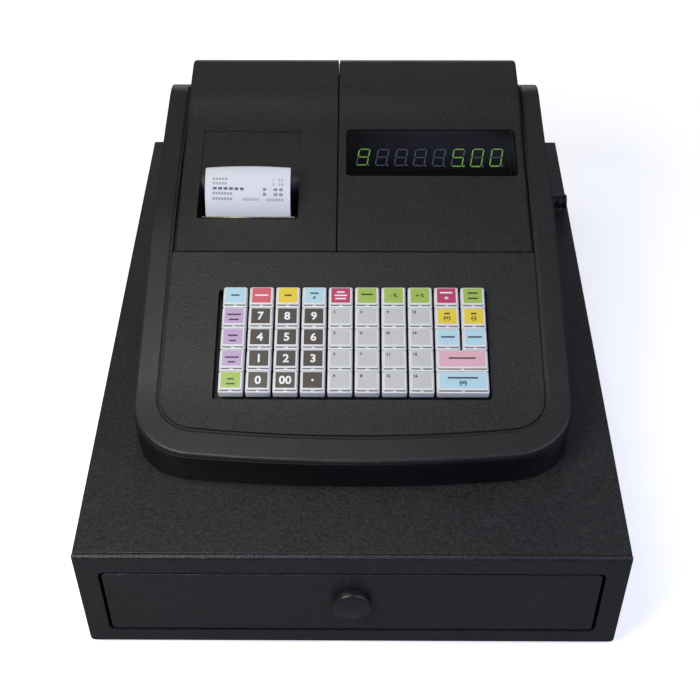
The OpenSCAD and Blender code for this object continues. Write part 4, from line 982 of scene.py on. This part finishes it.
receipt = Moulding()
paper_strip(receipt)
for height, count, pitch, ink, amount, amount_pitch in RECEIPT_LINES:
    half, tall = 0.36 * pitch, 0.45 * CHARACTER
    corners = [(-half, -tall, 0), (half, -tall, 0), (half, tall, 0), (-half, tall, 0)]
    block = mesh_object("block", corners, [(0, 1, 2, 3)], [])
    points, faces = row_of("item", block, count, (LINE_LEFT + pitch / 2, 0, 0), (pitch, 0, 0), ink)
    receipt.add([on_strip(p.x, p.y, height) for p in points], faces, ink)
    bold = INK_BOLD if amount == "5.00" else INK_GREY
    print_number(receipt, amount, amount_pitch, LINE_RIGHT, height, bold)
print_number(receipt, MIDDLE_NUMBER, 2.0, MIDDLE_RIGHT, RECEIPT_LINES[-1][0], INK_GREY)
hand_over(receipt.piece("receipt"), BODY_OF["receipt_paper"], "paper", "receipt_paper")

# %% [markdown]
# The cutting edge is a thin steel strip with fine teeth between the paper and the cover, and it
# stands a little above the throat's edge. Its teeth are one tooth in a row of eighty. A near-black
# strip, 1.3 mm wide, lies almost flush on the cover in front of it.

# %% The cutting edge
EDGE_Y, EDGE_Z0, EDGE_Z1, EDGE_HALF, EDGE_THICK = 24.12, 157.0, 160.3, 31.5, 0.18
TOOTH_PITCH, TOOTH_TALL = 0.7875, 0.35
DARK_STRIP_BACK, DARK_STRIP_WIDE, DARK_STRIP_HALF, DARK_STRIP_X = -60.3, 1.3, 33.5, -72.3
edge = Moulding()
y0, y1 = EDGE_Y, EDGE_Y + EDGE_THICK
x0, x1 = PAPER_X - EDGE_HALF, PAPER_X + EDGE_HALF
bar = [(x, y, z) for z in (EDGE_Z0, EDGE_Z1) for x, y in ((x0, y0), (x1, y0), (x1, y1), (x0, y1))]
box_faces = [(3, 2, 1, 0), (4, 5, 6, 7), (0, 1, 5, 4), (1, 2, 6, 5), (2, 3, 7, 6), (3, 0, 4, 7)]
edge.add([Vector(p) * MM for p in bar], box_faces, FINISH["edge_steel"])
wide = TOOTH_PITCH / 2
corners = [(-wide, 0, 0), (wide, 0, 0), (wide, EDGE_THICK, 0), (-wide, EDGE_THICK, 0),
           (0, 0, TOOTH_TALL), (0, EDGE_THICK, TOOTH_TALL)]
tooth = mesh_object("tooth", corners, [(0, 1, 4), (2, 3, 5), (1, 2, 5, 4), (3, 0, 4, 5)], [])
count = round(2 * EDGE_HALF / TOOTH_PITCH)
points, faces = row_of("teeth", tooth, count, (x0 + wide, y0, EDGE_Z1), (TOOTH_PITCH, 0, 0),
                       FINISH["edge_steel"])
edge.add([p * MM for p in points], faces, FINISH["edge_steel"])
# A near-black strip, sunk almost flush in the cover, makes a dark line in front of the cutting edge.
lip = rounded_ring((DARK_STRIP_X - DARK_STRIP_HALF) * MM, (DARK_STRIP_X + DARK_STRIP_HALF) * MM, (DARK_STRIP_BACK - DARK_STRIP_WIDE) * MM,
                   DARK_STRIP_BACK * MM, 0.3 * MM, 2)
edge.stack([(lip, -0.3 * MM), (lip, 0.04 * MM)], FINISH["gland_rubber"], on_panel)
hand_over(edge.piece("cutting_edge"), BODY_OF["printer_cover"], "release_steel")
print("teeth of the cutting edge:", count)

# %% [markdown]
# The shells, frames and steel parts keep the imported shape, softened at their edges.

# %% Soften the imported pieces
for node, radius in ROUNDING.items():
    softened(node, radius * MM)
print("softened pieces:", len(ROUNDING))
